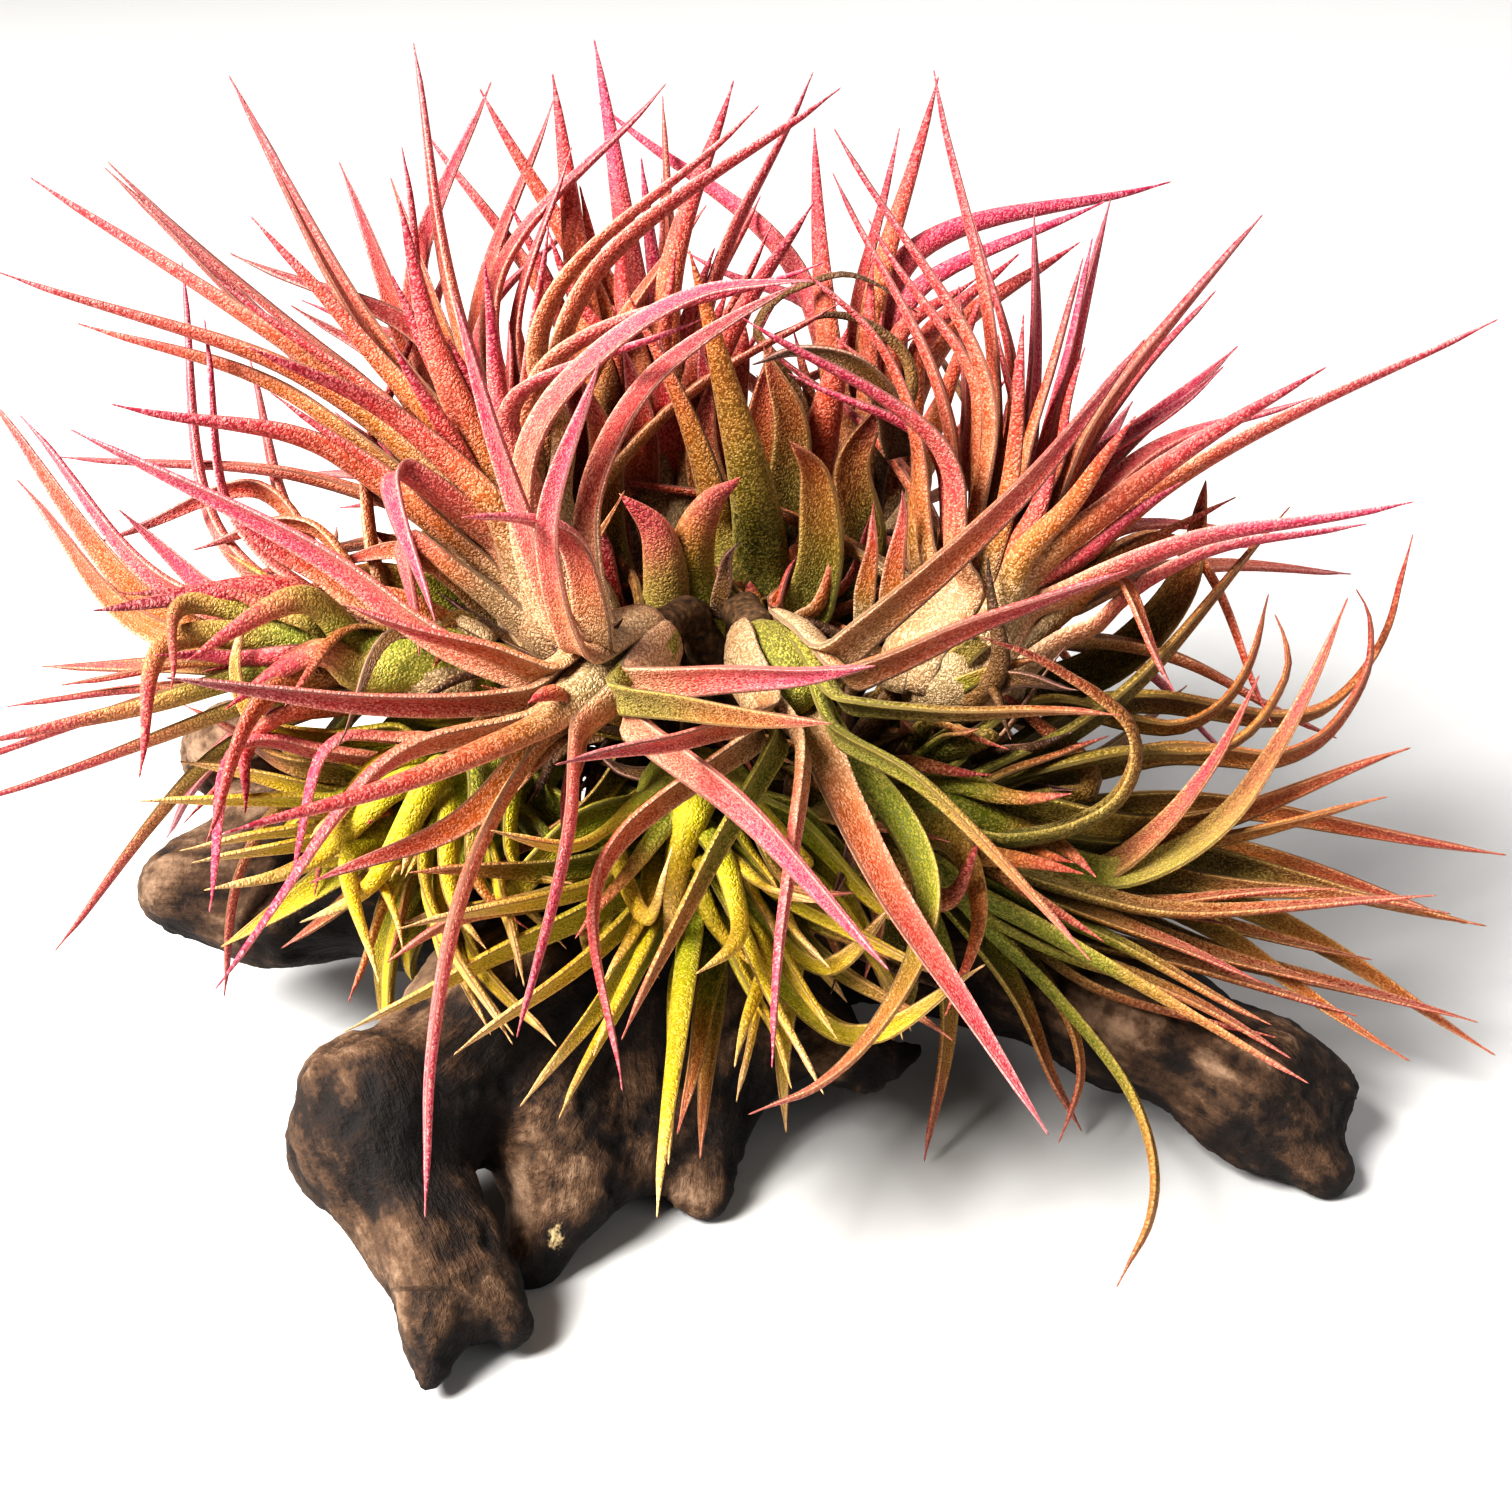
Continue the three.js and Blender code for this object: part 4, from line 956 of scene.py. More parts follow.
def leafMaterial(tone):
    material, tree = newMaterial("leaf_skin_" + tone)
    along = addNode(tree, "ShaderNodeAttribute", {"attribute_name": "along"}).outputs["Fac"]
    blush = addNode(tree, "ShaderNodeAttribute", {"attribute_name": "blush"}).outputs["Fac"]
    edge = addNode(tree, "ShaderNodeAttribute", {"attribute_name": "edge"}).outputs["Fac"]
    place = addNode(tree, "ShaderNodeAttribute", {"attribute_name": "leafPlace"}).outputs["Vector"]
    # the blush shifts in clouds along a leaf, and from leaf to leaf
    cloud = addNode(tree, "ShaderNodeTexNoise", None, {
        "Vector": place, "Scale": 1 / leafSkin["cloudSize"], "Detail": 3.0})
    cloudShift = addNode(tree, "ShaderNodeMath", {"operation": "MULTIPLY_ADD"}, {
        0: cloud.outputs["Fac"], 1: leafSkin["cloudShift"], 2: -leafSkin["cloudShift"] / 2})
    blushShift = addNode(tree, "ShaderNodeMath", {"operation": "MULTIPLY_ADD"}, {
        0: blush, 1: leafSkin["leafShift"], 2: -leafSkin["leafShift"] / 2})
    shifted = addNode(tree, "ShaderNodeMath", None, {0: along, 1: cloudShift.outputs[0]})
    shifted = addNode(tree, "ShaderNodeMath", None, {0: shifted.outputs[0], 1: blushShift.outputs[0]})
    ramp = addNode(tree, "ShaderNodeValToRGB", None, {"Fac": shifted.outputs[0]})
    skin = setStops(ramp, list(zip(leafSkin["toneStops"], tones[tone])))
    # veins run the leaf's length as fine darker streaks
    stretched = addNode(tree, "ShaderNodeVectorMath", {"operation": "MULTIPLY"}, {0: place, 1: (1, 0.08, 1)})
    streak = addNode(tree, "ShaderNodeTexNoise", None, {
        "Vector": stretched.outputs[0], "Scale": 1 / leafSkin["streakWidth"], "Detail": 2.0})
    streakRamp = addNode(tree, "ShaderNodeMapRange", None, {
        "Value": streak.outputs["Fac"], "From Min": 0.35, "From Max": 0.7, "To Min": 0.78, "To Max": 1.1})
    veined = addNode(tree, "ShaderNodeVectorMath", {"operation": "SCALE"}, {
        0: skin, "Scale": streakRamp.outputs[0]})
    # pale scale hairs stand in loose rows; a real one is 0.2 mm, drawn twice that so it shows,
    # with the tissue darker in the gaps between them
    jitter = addNode(tree, "ShaderNodeTexNoise", None, {
        "Vector": place, "Scale": 1 / leafSkin["jitterSize"], "Detail": 1.0})
    jittered = addNode(tree, "ShaderNodeVectorMath", {"operation": "MULTIPLY_ADD"}, {
        0: jitter.outputs["Color"], 1: (0.7, 0.7, 0.7), 2: place})
    rows = addNode(tree, "ShaderNodeVectorMath", {"operation": "MULTIPLY"}, {
        0: jittered.outputs[0], 1: (1, 0.7, 1)})
    hairs = addNode(tree, "ShaderNodeTexVoronoi", None, {
        "Vector": rows.outputs[0], "Scale": 1 / leafSkin["hairSpacing"], "Randomness": 1.0})
    fleck = addNode(tree, "ShaderNodeMapRange", None, {
        "Value": hairs.outputs["Distance"], "From Min": 0.05, "From Max": 0.7, "To Min": 1.0, "To Max": 0.0})
    gaps = addNode(tree, "ShaderNodeMapRange", None, {
        "Value": hairs.outputs["Distance"], "From Min": 0.3, "From Max": 0.75,
        "To Min": 1.08, "To Max": 0.66})
    veined = addNode(tree, "ShaderNodeVectorMath", {"operation": "SCALE"}, {
        0: veined.outputs[0], "Scale": gaps.outputs[0]})
    atRoot = addNode(tree, "ShaderNodeMapRange", None, {
        "Value": along, "From Min": 0.0, "From Max": 0.28, "To Min": leafSkin["rootCover"],
        "To Max": leafSkin["hairCover"]})
    patch = addNode(tree, "ShaderNodeTexNoise", None, {
        "Vector": place, "Scale": 1 / leafSkin["patchSize"], "Detail": 3.0})
    coated = leafSkin["bareShare"] if tone in leafSkin["bareTones"] else 1.0
    thinCover, fullCover = leafSkin["patchCover"]
    patchy = addNode(tree, "ShaderNodeMapRange", None, {
        "Value": patch.outputs["Fac"], "From Min": 0.3, "From Max": 0.7, "To Min": thinCover * coated,
        "To Max": fullCover * coated})
    cover = addNode(tree, "ShaderNodeMath", {"operation": "MULTIPLY"}, {
        0: atRoot.outputs[0], 1: patchy.outputs[0]})
    flecks = addNode(tree, "ShaderNodeMath", {"operation": "MULTIPLY"}, {
        0: fleck.outputs[0], 1: cover.outputs[0]})
    # near the root the hairs close to a film, and they fringe the leaf's edges
    film = addNode(tree, "ShaderNodeMapRange", None, {
        "Value": along, "From Min": 0.0, "From Max": 0.25, "To Min": leafSkin["rootFilm"] * coated,
        "To Max": 0.0})
    edged = addNode(tree, "ShaderNodeMath", {"operation": "MULTIPLY_ADD"}, {
        0: edge, 1: leafSkin["edgeCover"], 2: film.outputs[0]})
    margin = addNode(tree, "ShaderNodeMath", {"use_clamp": True}, {
        0: edged.outputs[0], 1: flecks.outputs[0]})
    rootHair, tipHair = leafSkin["hairOnGreen" if tone in leafSkin["greenTones"] else "hairOnPink"]
    hairTint = addNode(tree, "ShaderNodeMix", {"data_type": "RGBA"}, {
        0: shifted.outputs[0], 6: toLinear(rootHair), 7: toLinear(tipHair)})
    coat = addNode(tree, "ShaderNodeMix", {"data_type": "RGBA"}, {
        0: margin.outputs[0], 6: veined.outputs[0], 7: hairTint.outputs[2]})
    bump = addNode(tree, "ShaderNodeBump", None, {
        "Strength": 1.0, "Distance": leafSkin["bumpHeight"] * mm, "Height": fleck.outputs[0]})
    shader = addNode(tree, "ShaderNodeBsdfPrincipled", None, {
        "Base Color": coat.outputs[2], "Roughness": leafSkin["roughness"], "IOR": leafSkin["ior"],
        "Sheen Weight": leafSkin["sheen"] * coated ** 2, "Sheen Roughness": leafSkin["sheenRoughness"],
        "Sheen Tint": toLinear(leafSkin["sheenTint"]), "Normal": bump.outputs[0]})
    addNode(tree, "ShaderNodeOutputMaterial", None, {"Surface": shader.outputs[0]})
    return material


leafMaterials = {tone: leafMaterial(tone) for tone in tones}
print("leaf skins made:", len(leafMaterials))


# One mesh from sets of leaf surfaces, with what the skins read stored at each point
def leafMesh(sets, names):
    labels = ("vertices", "faces", "faceTones", "along", "edge", "blush", "leafPlace")
    parts = {label: [] for label in labels}
    start, serial = 0, 0
    for made, toneOf in sets:
        rings, around = made["surface"].shape[1:3]
        ring = np.arange(around)
        following = (ring + 1) % around
        quads = np.stack([ring, following, following + around, ring + around], axis=1)
        body = (quads[None] + around * np.arange(rings - 1)[:, None, None]).reshape(-1, 4)
        tip = rings * around
        caps = np.stack([ring + tip - around, following + tip - around, np.full(around, tip)], axis=1)
        for n, tone in enumerate(toneOf):
            parts["vertices"] += [made["surface"][n].reshape(-1, 3), made["tips"][n][None]]
            parts["faces"] += (body + start).tolist() + (caps + start).tolist()
            parts["faces"].append((start + ring[::-1]).tolist())
            parts["faceTones"] += [names.index(tone)] * (len(body) + len(caps) + 1)
            parts["along"] += np.repeat(made["along"][n], around).tolist() + [1.0]
            parts["edge"] += np.tile(np.abs(made["s"]) ** 10, rings).tolist() + [1.0]
            parts["blush"] += [made["blush"][n]] * (tip + 1)
            acrossLeaf = (made["width"][n][:, None] / 2 * made["s"]).ravel()
            # each leaf and each of its sides has its own stretch of the pattern
            below = np.tile(np.where(made["v"] > 0, 0.0, 30.0), rings)
            outAlong = np.repeat(made["distance"][n], around)
            spot = np.stack([acrossLeaf, outAlong, 61.0 * serial + below], axis=1)
            parts["leafPlace"] += spot.tolist() + [spot[-1].tolist()]
            start += tip + 1
            serial += 1
    return parts


def dressed(group, rosette, form, seed):
    lines = np.array([dressedLine(leaf, form["rings"]) for leaf in group])
    inward = -np.array([leaf["outward"] for leaf in group])
    gain = leafForm["widthGain"] * rosette.get("slender", 1)
    widths = np.array([leaf["width"] for leaf in group]) * gain
    inHeart = np.array([leaf["grownFrom"] == "heart" for leaf in group])
    sheathWidth = leafForm["sheathWidth"] * rosette.get("stout", 1)
    sheaths = np.where(inHeart, leafForm["heartSheath"], sheathWidth)
    shaped = np.array([leaf["grownFrom"] in ("row", "sister") for leaf in group])
    fullness = np.where(shaped, rosette.get("fullness", leafForm["fullness"]), leafForm["fullness"])
    wall = leafForm["wall"]
    made = leafSurfaces(lines, inward, widths, sheaths, wall, fullness, form["around"], seed)
    return made, [leaf["tone"] for leaf in group]


# Short broad leaves in the hollow of the clump and at its left: the rosette that they stand with, tone,
# width, the side that their hollow faces and the points along each, in mm
paddles = [
    ("centre", "dawn", 10.0, "away", [
        (-18.5, 8, 75), (-15.8, 8, 93.6), (-17.9, 8, 103.4), (-23.5, 6, 110.6)]),
    ("centre", "crimson", 7.5, "away", [(-26.4, 12, 78), (-27.3, 13, 92), (-27.9, 13, 103)]),
    ("centre", "moss", 10.5, "away", [
        (-9.3, 10, 78), (-11.5, 11, 96), (-8.5, 11, 107.3), (-3.2, 10, 112.5)]),
    ("centre", "ochre", 10.0, "near", [(8, 12, 80), (11.9, 14, 97.7), (10, 16, 110.4), (5.7, 15, 117.3)]),
    ("centre", "olive", 10.0, "near", [(6, 32, 78), (6, 34, 96), (6, 36, 112), (2, 38, 126)]),
    ("centre", "olive", 10.0, "near", [(17, 26, 76), (20, 28, 92), (18, 30, 106), (23, 30, 120)]),
    ("centre", "ochre", 9.5, "near", [(-24, 20, 78), (-28, 24, 96), (-28, 26, 112), (-31, 28, 124)]),
    ("centre", "olive", 10.0, "near", [(-4, 30, 76), (-7, 33, 94), (-10, 35, 108), (-9, 37, 120)]),
    ("centre", "withered", 3.6, "near", [(-7, 0, 90), (-5.2, 0, 99.3), (-3.1, 0, 104.1)]),
    ("centre", "amber", 4.2, "near", [(18.9, 6, 86), (20, 6, 100.3), (20.9, 6, 108.9)]),
    ("centre", "amber", 5.0, "near", [(23.8, 6, 86), (24.8, 6, 101.3), (25.5, 6, 111.4)]),
    ("centre_back", "amber", 9.0, "near", [(-22, 34, 78), (-22, 34, 94), (-21, 34, 110), (-24, 34, 127)]),
    ("centre_back", "blush", 9.0, "near", [(-13, 36, 78), (-14, 36, 93), (-16, 36, 109), (-17, 36, 128)]),
    ("centre_back", "amber", 9.0, "near", [(-7, 40, 76), (-7, 40, 91), (-7, 40, 109), (-10, 40, 126)]),
    ("centre_back", "olive", 10.0, "away", [(-3, 44, 76), (-3, 44, 93), (-5, 44, 110), (-2, 44, 128)]),
    ("centre_back", "blush", 9.0, "near", [(-29, 30, 80), (-31, 30, 95), (-31, 30, 111), (-34, 30, 127)]),
    ("right_back", "ochre", 9.5, "near", [(2, 38, 76), (1, 38, 92), (1, 38, 108), (3, 38, 126)]),
    ("right_back", "amber", 9.0, "away", [(10, 40, 76), (11, 40, 91), (12, 40, 109), (17, 40, 129)]),
    ("right_back", "withered", 7.0, "near", [
        (26, 30, 108), (24, 26, 119), (17, 24, 128), (8, 24, 131), (0, 24, 128)]),
    ("right", "olive", 9.5, "near", [(40, 12, 66), (53, 14, 68), (67, 14, 75), (77, 14, 89), (79, 14, 110)]),
    ("left_back", "amber", 6.5, "near", [(-44, 8, 84), (-53, 6, 95), (-62, 5, 101), (-76, 4, 98)]),
    ("left_back", "moss", 8.0, "away", [(-46, 12, 80), (-58, 10, 90), (-68, 9, 94), (-84, 8, 90)]),
    ("left_back", "amber", 7.0, "away", [(-48, 2, 80), (-57, 0, 90), (-66, 0, 94), (-80, -2, 92)]),
    ("left_back", "olive", 9.0, "away", [(-46, 16, 72), (-54, 14, 84), (-60, 14, 92), (-68, 14, 100)]),
]


# The broad ones keep their width almost to the tip
paddleForm = {"rings": 30, "around": 14, "broad": 8.2, "broadFullness": 4.0, "fullness": 2.0,
              "rootGain": 1.1, "seed": 3}


def paddleLeaves(name):
    rows = [row[1:] for row in paddles if row[0] == name]
    lines = np.array([smoothLine(points, paddleForm["rings"]) for _, _, _, points in rows])
    inward = np.array([nearer if facing == "near" else -nearer for _, _, facing, _ in rows])
    widths = np.array([width for _, width, _, _ in rows])
    fullness = np.where(widths > paddleForm["broad"], paddleForm["broadFullness"], paddleForm["fullness"])
    made = leafSurfaces(lines, inward, widths, widths * paddleForm["rootGain"], 0.0, fullness,
                        paddleForm["around"], paddleForm["seed"])
    return made, [row[0] for row in rows]


# A curling leaf that would run into the wood isn't kept
def hitsWood(leaf):
    if leaf["grownFrom"] != "ruff":
        return False
    return woodDistance(dressedLine(leaf, 24)[7:]).min() < ruff["leastClearance"]


# A rosette's piece: its leaves with their sheaths, and the bulb that they wrap
def rosettePiece(name, rosette, seed):
    own = [leaf for leaf in grownLeaves if leaf["rosette"] == name]
    finer = [leaf for leaf in finerLeaves if leaf["rosette"] == name and not hitsWood(leaf)]
    sets = [dressed(own, rosette, leafForm, seed)] if own else []
    if finer:
        sets.append(dressed(finer, rosette, finerForm, seed + 50))
    if name in [row[0] for row in paddles]:
        sets.append(paddleLeaves(name))
    names = sorted({tone for _, toneOf in sets for tone in toneOf} | {rosette["tones"][0]})
    parts = leafMesh(sets, names)
    core, coreFaces = bulbCore(rosette, sum(len(part) for part in parts["vertices"]))
    parts["vertices"].append(core)
    parts["faces"] += coreFaces
    parts["faceTones"] += [names.index(rosette["tones"][0])] * len(coreFaces)
    parts["along"] += [0.0] * len(core)
    parts["edge"] += [0.0] * len(core)
    parts["blush"] += [0.3] * len(core)
    parts["leafPlace"] += core.tolist()
    piece = leafPiece("leaves_" + name, parts, names)
    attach(piece, "root")
    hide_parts("rosette_" + name)


def leafPiece(name, parts, names):
    attributes = {label: parts[label] for label in ("along", "edge", "blush", "leafPlace")}
    return meshObject(name, np.vstack(parts["vertices"]), parts["faces"], attributes,
                      [leafMaterials[tone] for tone in names], parts["faceTones"])


# The bulb under the sheaths, closed at its foot and pointed at its top
def bulbCore(rosette, start, sides=20):
    axis, foot = axisOf(rosette), bulbFoot(rosette)
    side = unit(np.cross(axis, nearer))
    front = np.cross(side, axis)
    profile = np.array([(share, radius) for share, radius in bulb["outline"]])
    shares = np.linspace(0, 0.95, 14)
    radii = np.interp(shares, profile[:, 0], profile[:, 1]) * bulb["radius"] * bulb["coreShare"]
    radii = radii * rosette.get("stout", 1)
    angles = 2 * math.pi * np.arange(sides) / sides
    rim = side * np.cos(angles)[:, None] + front * np.sin(angles)[:, None]
    middles = foot + axis * shares[:, None, None] * bulb["length"]
    core = (middles + rim[None] * radii[:, None, None]).reshape(-1, 3)
    core = np.vstack([core, foot + axis * bulb["length"]])
    faces = []
    for i in range(len(shares) - 1):
        for k in range(sides):
            a, b = i * sides + k, i * sides + (k + 1) % sides
            faces.append((start + a, start + b, start + b + sides, start + a + sides))
    last = start + (len(shares) - 1) * sides
    faces += [(last + k, last + (k + 1) % sides, start + len(core) - 1) for k in range(sides)]
    faces.append([start + k for k in reversed(range(sides))])
    return core, faces


for seed, (name, rosette) in enumerate(rosettes.items()):
    rosettePiece(name, rosette, seed)
print("rosettes dressed:", len(rosettes))


# Dry dead leaves that fill the clump's inside, as old leaves do. Lengths and widths in mm.
thatch = {
    "count": 260,
    "bare": ("front", "front_right", "centre"),
    "middle": (0, 4, 50.0),
    "length": (18, 46),
    "width": (3.5, 7.5),
    "bending": 0.7,
    "droop": 0.4,
    "fullness": 1.8,
    "rings": 20,
    "around": 8,
    "seed": 40,
    "tones": ("withered", "olive", "withered", "moss", "withered", "olive"),
}


def thatchPiece():
    random = np.random.default_rng(thatch["seed"])
    lines, inward = [], []
    branches = [branchLine(rosette) for name, rosette in rosettes.items() if name not in thatch["bare"]]
    for n in range(thatch["count"]):
        branch = branches[n % len(branches)]
        root = branch[random.integers(1, len(branch))] + random.uniform(-2, 2, 3)
        away = unit(root - np.array(thatch["middle"]) + random.normal(0, 12, 3))
        length = random.uniform(*thatch["length"])
        middle = root + away * length * 0.5 + random.normal(0, 3, 3)
        bent = unit(away + random.normal(0, thatch["bending"], 3) - [0, 0, thatch["droop"]])
        end = middle + bent * length * 0.5
        lines.append(smoothLine([root, middle, end], thatch["rings"]))
        inward.append(unit(random.normal(0, 1, 3)))
    widths = random.uniform(*thatch["width"], thatch["count"])
    fullness = np.full(thatch["count"], thatch["fullness"])
    made = leafSurfaces(np.array(lines), np.array(inward), widths, widths, 0.0, fullness,
                        thatch["around"], thatch["seed"])
    toneOf = [thatch["tones"][n // len(branches) % len(thatch["tones"])] for n in range(thatch["count"])]
    names = sorted(set(toneOf))
    piece = leafPiece("dry_old_leaves", leafMesh([(made, toneOf)], names), names)
    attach(piece, "root")


thatchPiece()
print("dry old leaves laid:", thatch["count"])


# Weathered driftwood: raw and unsealed, so it is matt, dark in its hollows and bleached grey on its knobs,
# with painted light and shade: lighter on the faces turned to the key lamp, darker on the others
bareWood = {
    # the darkest stop also shows painted shade and the palest stop also shows painted light
    "hollowAndPaintedShade": "#0e0704",
    "shade": "#24150b",
    "face": "#553e2b",
    "bleachedAndPaintedLight": "#907660",
    "chip": "#c4ae84",
    "grainWidth": 0.9,
    "patchSize": 14.0,
    "patchShare": 0.34,
    "grainShare": 0.34,
    "crumbSize": 1.3,
    "crumbShare": 0.6,
    "chipRaggedness": 1.6,
    "roughness": 0.82,
    "ior": 1.52,
    "bumpHeight": 0.8,
}


def woodMaterial():
    material, tree = newMaterial("driftwood_weathered_raw")
    # this value mixes weathered hollows and knobs with painted light and shade
    hollowAndPaintedShade = addNode(tree, "ShaderNodeAttribute", {"attribute_name": "hollowAndPaintedShade"}).outputs["Fac"]
    grainPlace = addNode(tree, "ShaderNodeAttribute", {"attribute_name": "grainPlace"}).outputs["Vector"]
    place = addNode(tree, "ShaderNodeTexCoord").outputs["Object"]
    patches = addNode(tree, "ShaderNodeTexNoise", None, {
        "Vector": place, "Scale": 1 / (bareWood["patchSize"] * mm), "Detail": 5.0, "Roughness": 0.6})
    grain = addNode(tree, "ShaderNodeTexNoise", None, {
        "Vector": grainPlace, "Scale": 1 / bareWood["grainWidth"], "Detail": 4.0, "Roughness": 0.65})
    crumbs = addNode(tree, "ShaderNodeTexNoise", None, {
        "Vector": place, "Scale": 1 / (bareWood["crumbSize"] * mm), "Detail": 4.0, "Roughness": 0.7})
    mixed = hollowAndPaintedShade
    for pattern, share in ((grain, "grainShare"), (patches, "patchShare"), (crumbs, "crumbShare")):
        mixed = addNode(tree, "ShaderNodeMath", {"operation": "MULTIPLY_ADD"}, {
            0: pattern.outputs["Fac"], 1: bareWood[share], 2: mixed}).outputs[0]
    level = addNode(tree, "ShaderNodeMapRange", None, {
        "Value": mixed, "From Min": 0.2, "From Max": 1.2})
    ramp = addNode(tree, "ShaderNodeValToRGB", None, {"Fac": level.outputs[0]})
    colour = setStops(ramp, [(0.0, bareWood["hollowAndPaintedShade"]), (0.3, bareWood["shade"]), (0.58, bareWood["face"]),
                             (0.95, bareWood["bleachedAndPaintedLight"])])
    # one pale chip where the surface broke away
    chip = addNode(tree, "ShaderNodeAttribute", {"attribute_name": "chip"}).outputs["Fac"]
    ragged = addNode(tree, "ShaderNodeMath", {"operation": "MULTIPLY_ADD"}, {
        0: crumbs.outputs["Fac"], 1: bareWood["chipRaggedness"], 2: chip})
    broken = addNode(tree, "ShaderNodeMapRange", None, {
        "Value": ragged.outputs[0], "From Min": 1.35, "From Max": 1.65})
    chipped = addNode(tree, "ShaderNodeMix", {"data_type": "RGBA"}, {
        0: broken.outputs[0], 6: colour, 7: toLinear(bareWood["chip"])})
    relief = addNode(tree, "ShaderNodeMath", {"operation": "MULTIPLY_ADD"}, {
        0: crumbs.outputs["Fac"], 1: 1.1, 2: grain.outputs["Fac"]})
    bump = addNode(tree, "ShaderNodeBump", None, {
        "Strength": 0.8, "Distance": bareWood["bumpHeight"] * mm, "Height": relief.outputs[0]})
    shader = addNode(tree, "ShaderNodeBsdfPrincipled", None, {
        "Base Color": chipped.outputs[2], "Roughness": bareWood["roughness"], "IOR": bareWood["ior"],
        "Normal": bump.outputs[0]})
    addNode(tree, "ShaderNodeOutputMaterial", None, {"Surface": shader.outputs[0]})
    return material


# The wood's surface: a point in each grid cell that the skin crosses, and a face round each crossed edge
def skinOf(values, low, cell):
    shape = np.array(values.shape)
    inside = values < 0
    total = np.zeros(tuple(shape - 1) + (3,))
    crossings = np.zeros(tuple(shape - 1))
    corner = {}
    for offset in np.ndindex(2, 2, 2):
        window = tuple(slice(o, o + n - 1) for o, n in zip(offset, shape))
        corner[offset] = values[window]
    for a in corner:
        for axis in range(3):
            if a[axis] == 0:
                b = tuple(v + (k == axis) for k, v in enumerate(a))
                crossed = (corner[a] < 0) != (corner[b] < 0)
                share = corner[a] / np.where(crossed, corner[a] - corner[b], 1)
                for k in range(3):
                    total[..., k] += crossed * (a[k] + (share if k == axis else 0))
                crossings += crossed
    used = crossings > 0
    number = np.full(used.shape, -1)
    number[used] = np.arange(used.sum())
    places = np.argwhere(used)
    vertices = (places + total[used] / crossings[used][:, None]) * cell + low
    faces = []
    for axis in range(3):
        step = np.eye(3, dtype=int)[axis]
        u, v = np.eye(3, dtype=int)[(axis + 1) % 3], np.eye(3, dtype=int)[(axis + 2) % 3]
        body = tuple(slice(1, n - 1) for n in shape)
        ahead = tuple(slice(1 + s, n - 1 + s) for n, s in zip(shape, step))
        crossed = np.argwhere(inside[body] != inside[ahead]) + 1
        starts = inside[tuple(crossed.T)]
        ring = [number[tuple((crossed - i * u - j * v).T)] for i, j in ((0, 0), (1, 0), (1, 1), (0, 1))]
        quads = np.stack(ring, axis=1)
        quads[~starts] = quads[~starts][:, ::-1]
        faces.append(quads)
    return vertices, np.vstack(faces)


def skinNormals(vertices, faces):
    corners = vertices[faces]
    normalOfFace = np.cross(corners[:, 2] - corners[:, 0], corners[:, 3] - corners[:, 1])
    normals = np.zeros_like(vertices)
    for k in range(4):
        np.add.at(normals, faces[:, k], normalOfFace)
    return unit(normals)


# Each point's place in the grain of the nearest limb: along it, and out from it on two sides
def grainOf(points):
    best = np.full(len(points), 1e9)
    place = np.zeros((len(points), 3))
    for limb in driftwood["limbs"]:
        run = 0.0
        for start, end in zip(limb, limb[1:]):
            a, b = np.array(start[:3]), np.array(end[:3])
            length = np.linalg.norm(b - a)
            d = (b - a) / length
            side = unit(np.cross(d, [0, 0.3, 1]))
            share = np.clip((points - a) @ d / length, 0, 1)
            gap = np.linalg.norm(points - a - share[:, None] * (b - a), axis=1) - start[3]
            closer = gap < best
            alongGrain = (run + (points - a) @ d) * driftwood["fibreStretch"]
            local = np.stack([alongGrain, (points - a) @ side, (points - a) @ np.cross(d, side)], axis=1)
            place[closer] = local[closer]
            best[closer] = gap[closer]
            run += length
    return place


# Weathering has hollowed the wood's faces and left ridges between them
def weathered(values, grid):
    random = np.random.default_rng(driftwood["seed"])
    stretches = [pair for limb in driftwood["limbs"] for pair in zip(limb, limb[1:])]
    band = np.abs(values) < driftwood["carvedBand"]
    points, skin = grid[band], values[band]
    carved = skin.copy()
    for n in range(driftwood["scoops"]):
        start, end = (np.array(point, float) for point in stretches[n % len(stretches)])
        spot = start + (end - start) * random.uniform(0, 1)
        along = unit(end[:3] - start[:3])
        out = random.normal(0, 1, 3)
        out[2] = abs(out[2])
        out = unit(out - (out @ along) * along)
        radius = random.uniform(*driftwood["scoopRadius"])
        depth = min(random.uniform(*driftwood["scoopDepth"]), spot[3] * driftwood["deepestShare"])
        surface = spot[:3] + out * spot[3]
        for _ in range(4):
            surface = surface - out * woodDistance(surface)
        gap = radius - np.linalg.norm(points - surface - out * (radius - depth), axis=-1)
        gap = np.minimum(gap, skin + depth)
        blend = np.maximum(0, 1 - np.abs(carved - gap) / driftwood["scoopEdge"])
        carved = np.maximum(carved, gap) + blend ** 2 * driftwood["scoopEdge"] / 4
    values = values.copy()
    values[band] = carved
    return values


# Wear rounds the ridges that are left: each value takes on some of its neighbours' values
def worn(values, rounds):
    for _ in range(rounds):
        for axis in range(3):
            values = 0.5 * values + 0.25 * (np.roll(values, 1, axis) + np.roll(values, -1, axis))
    return values


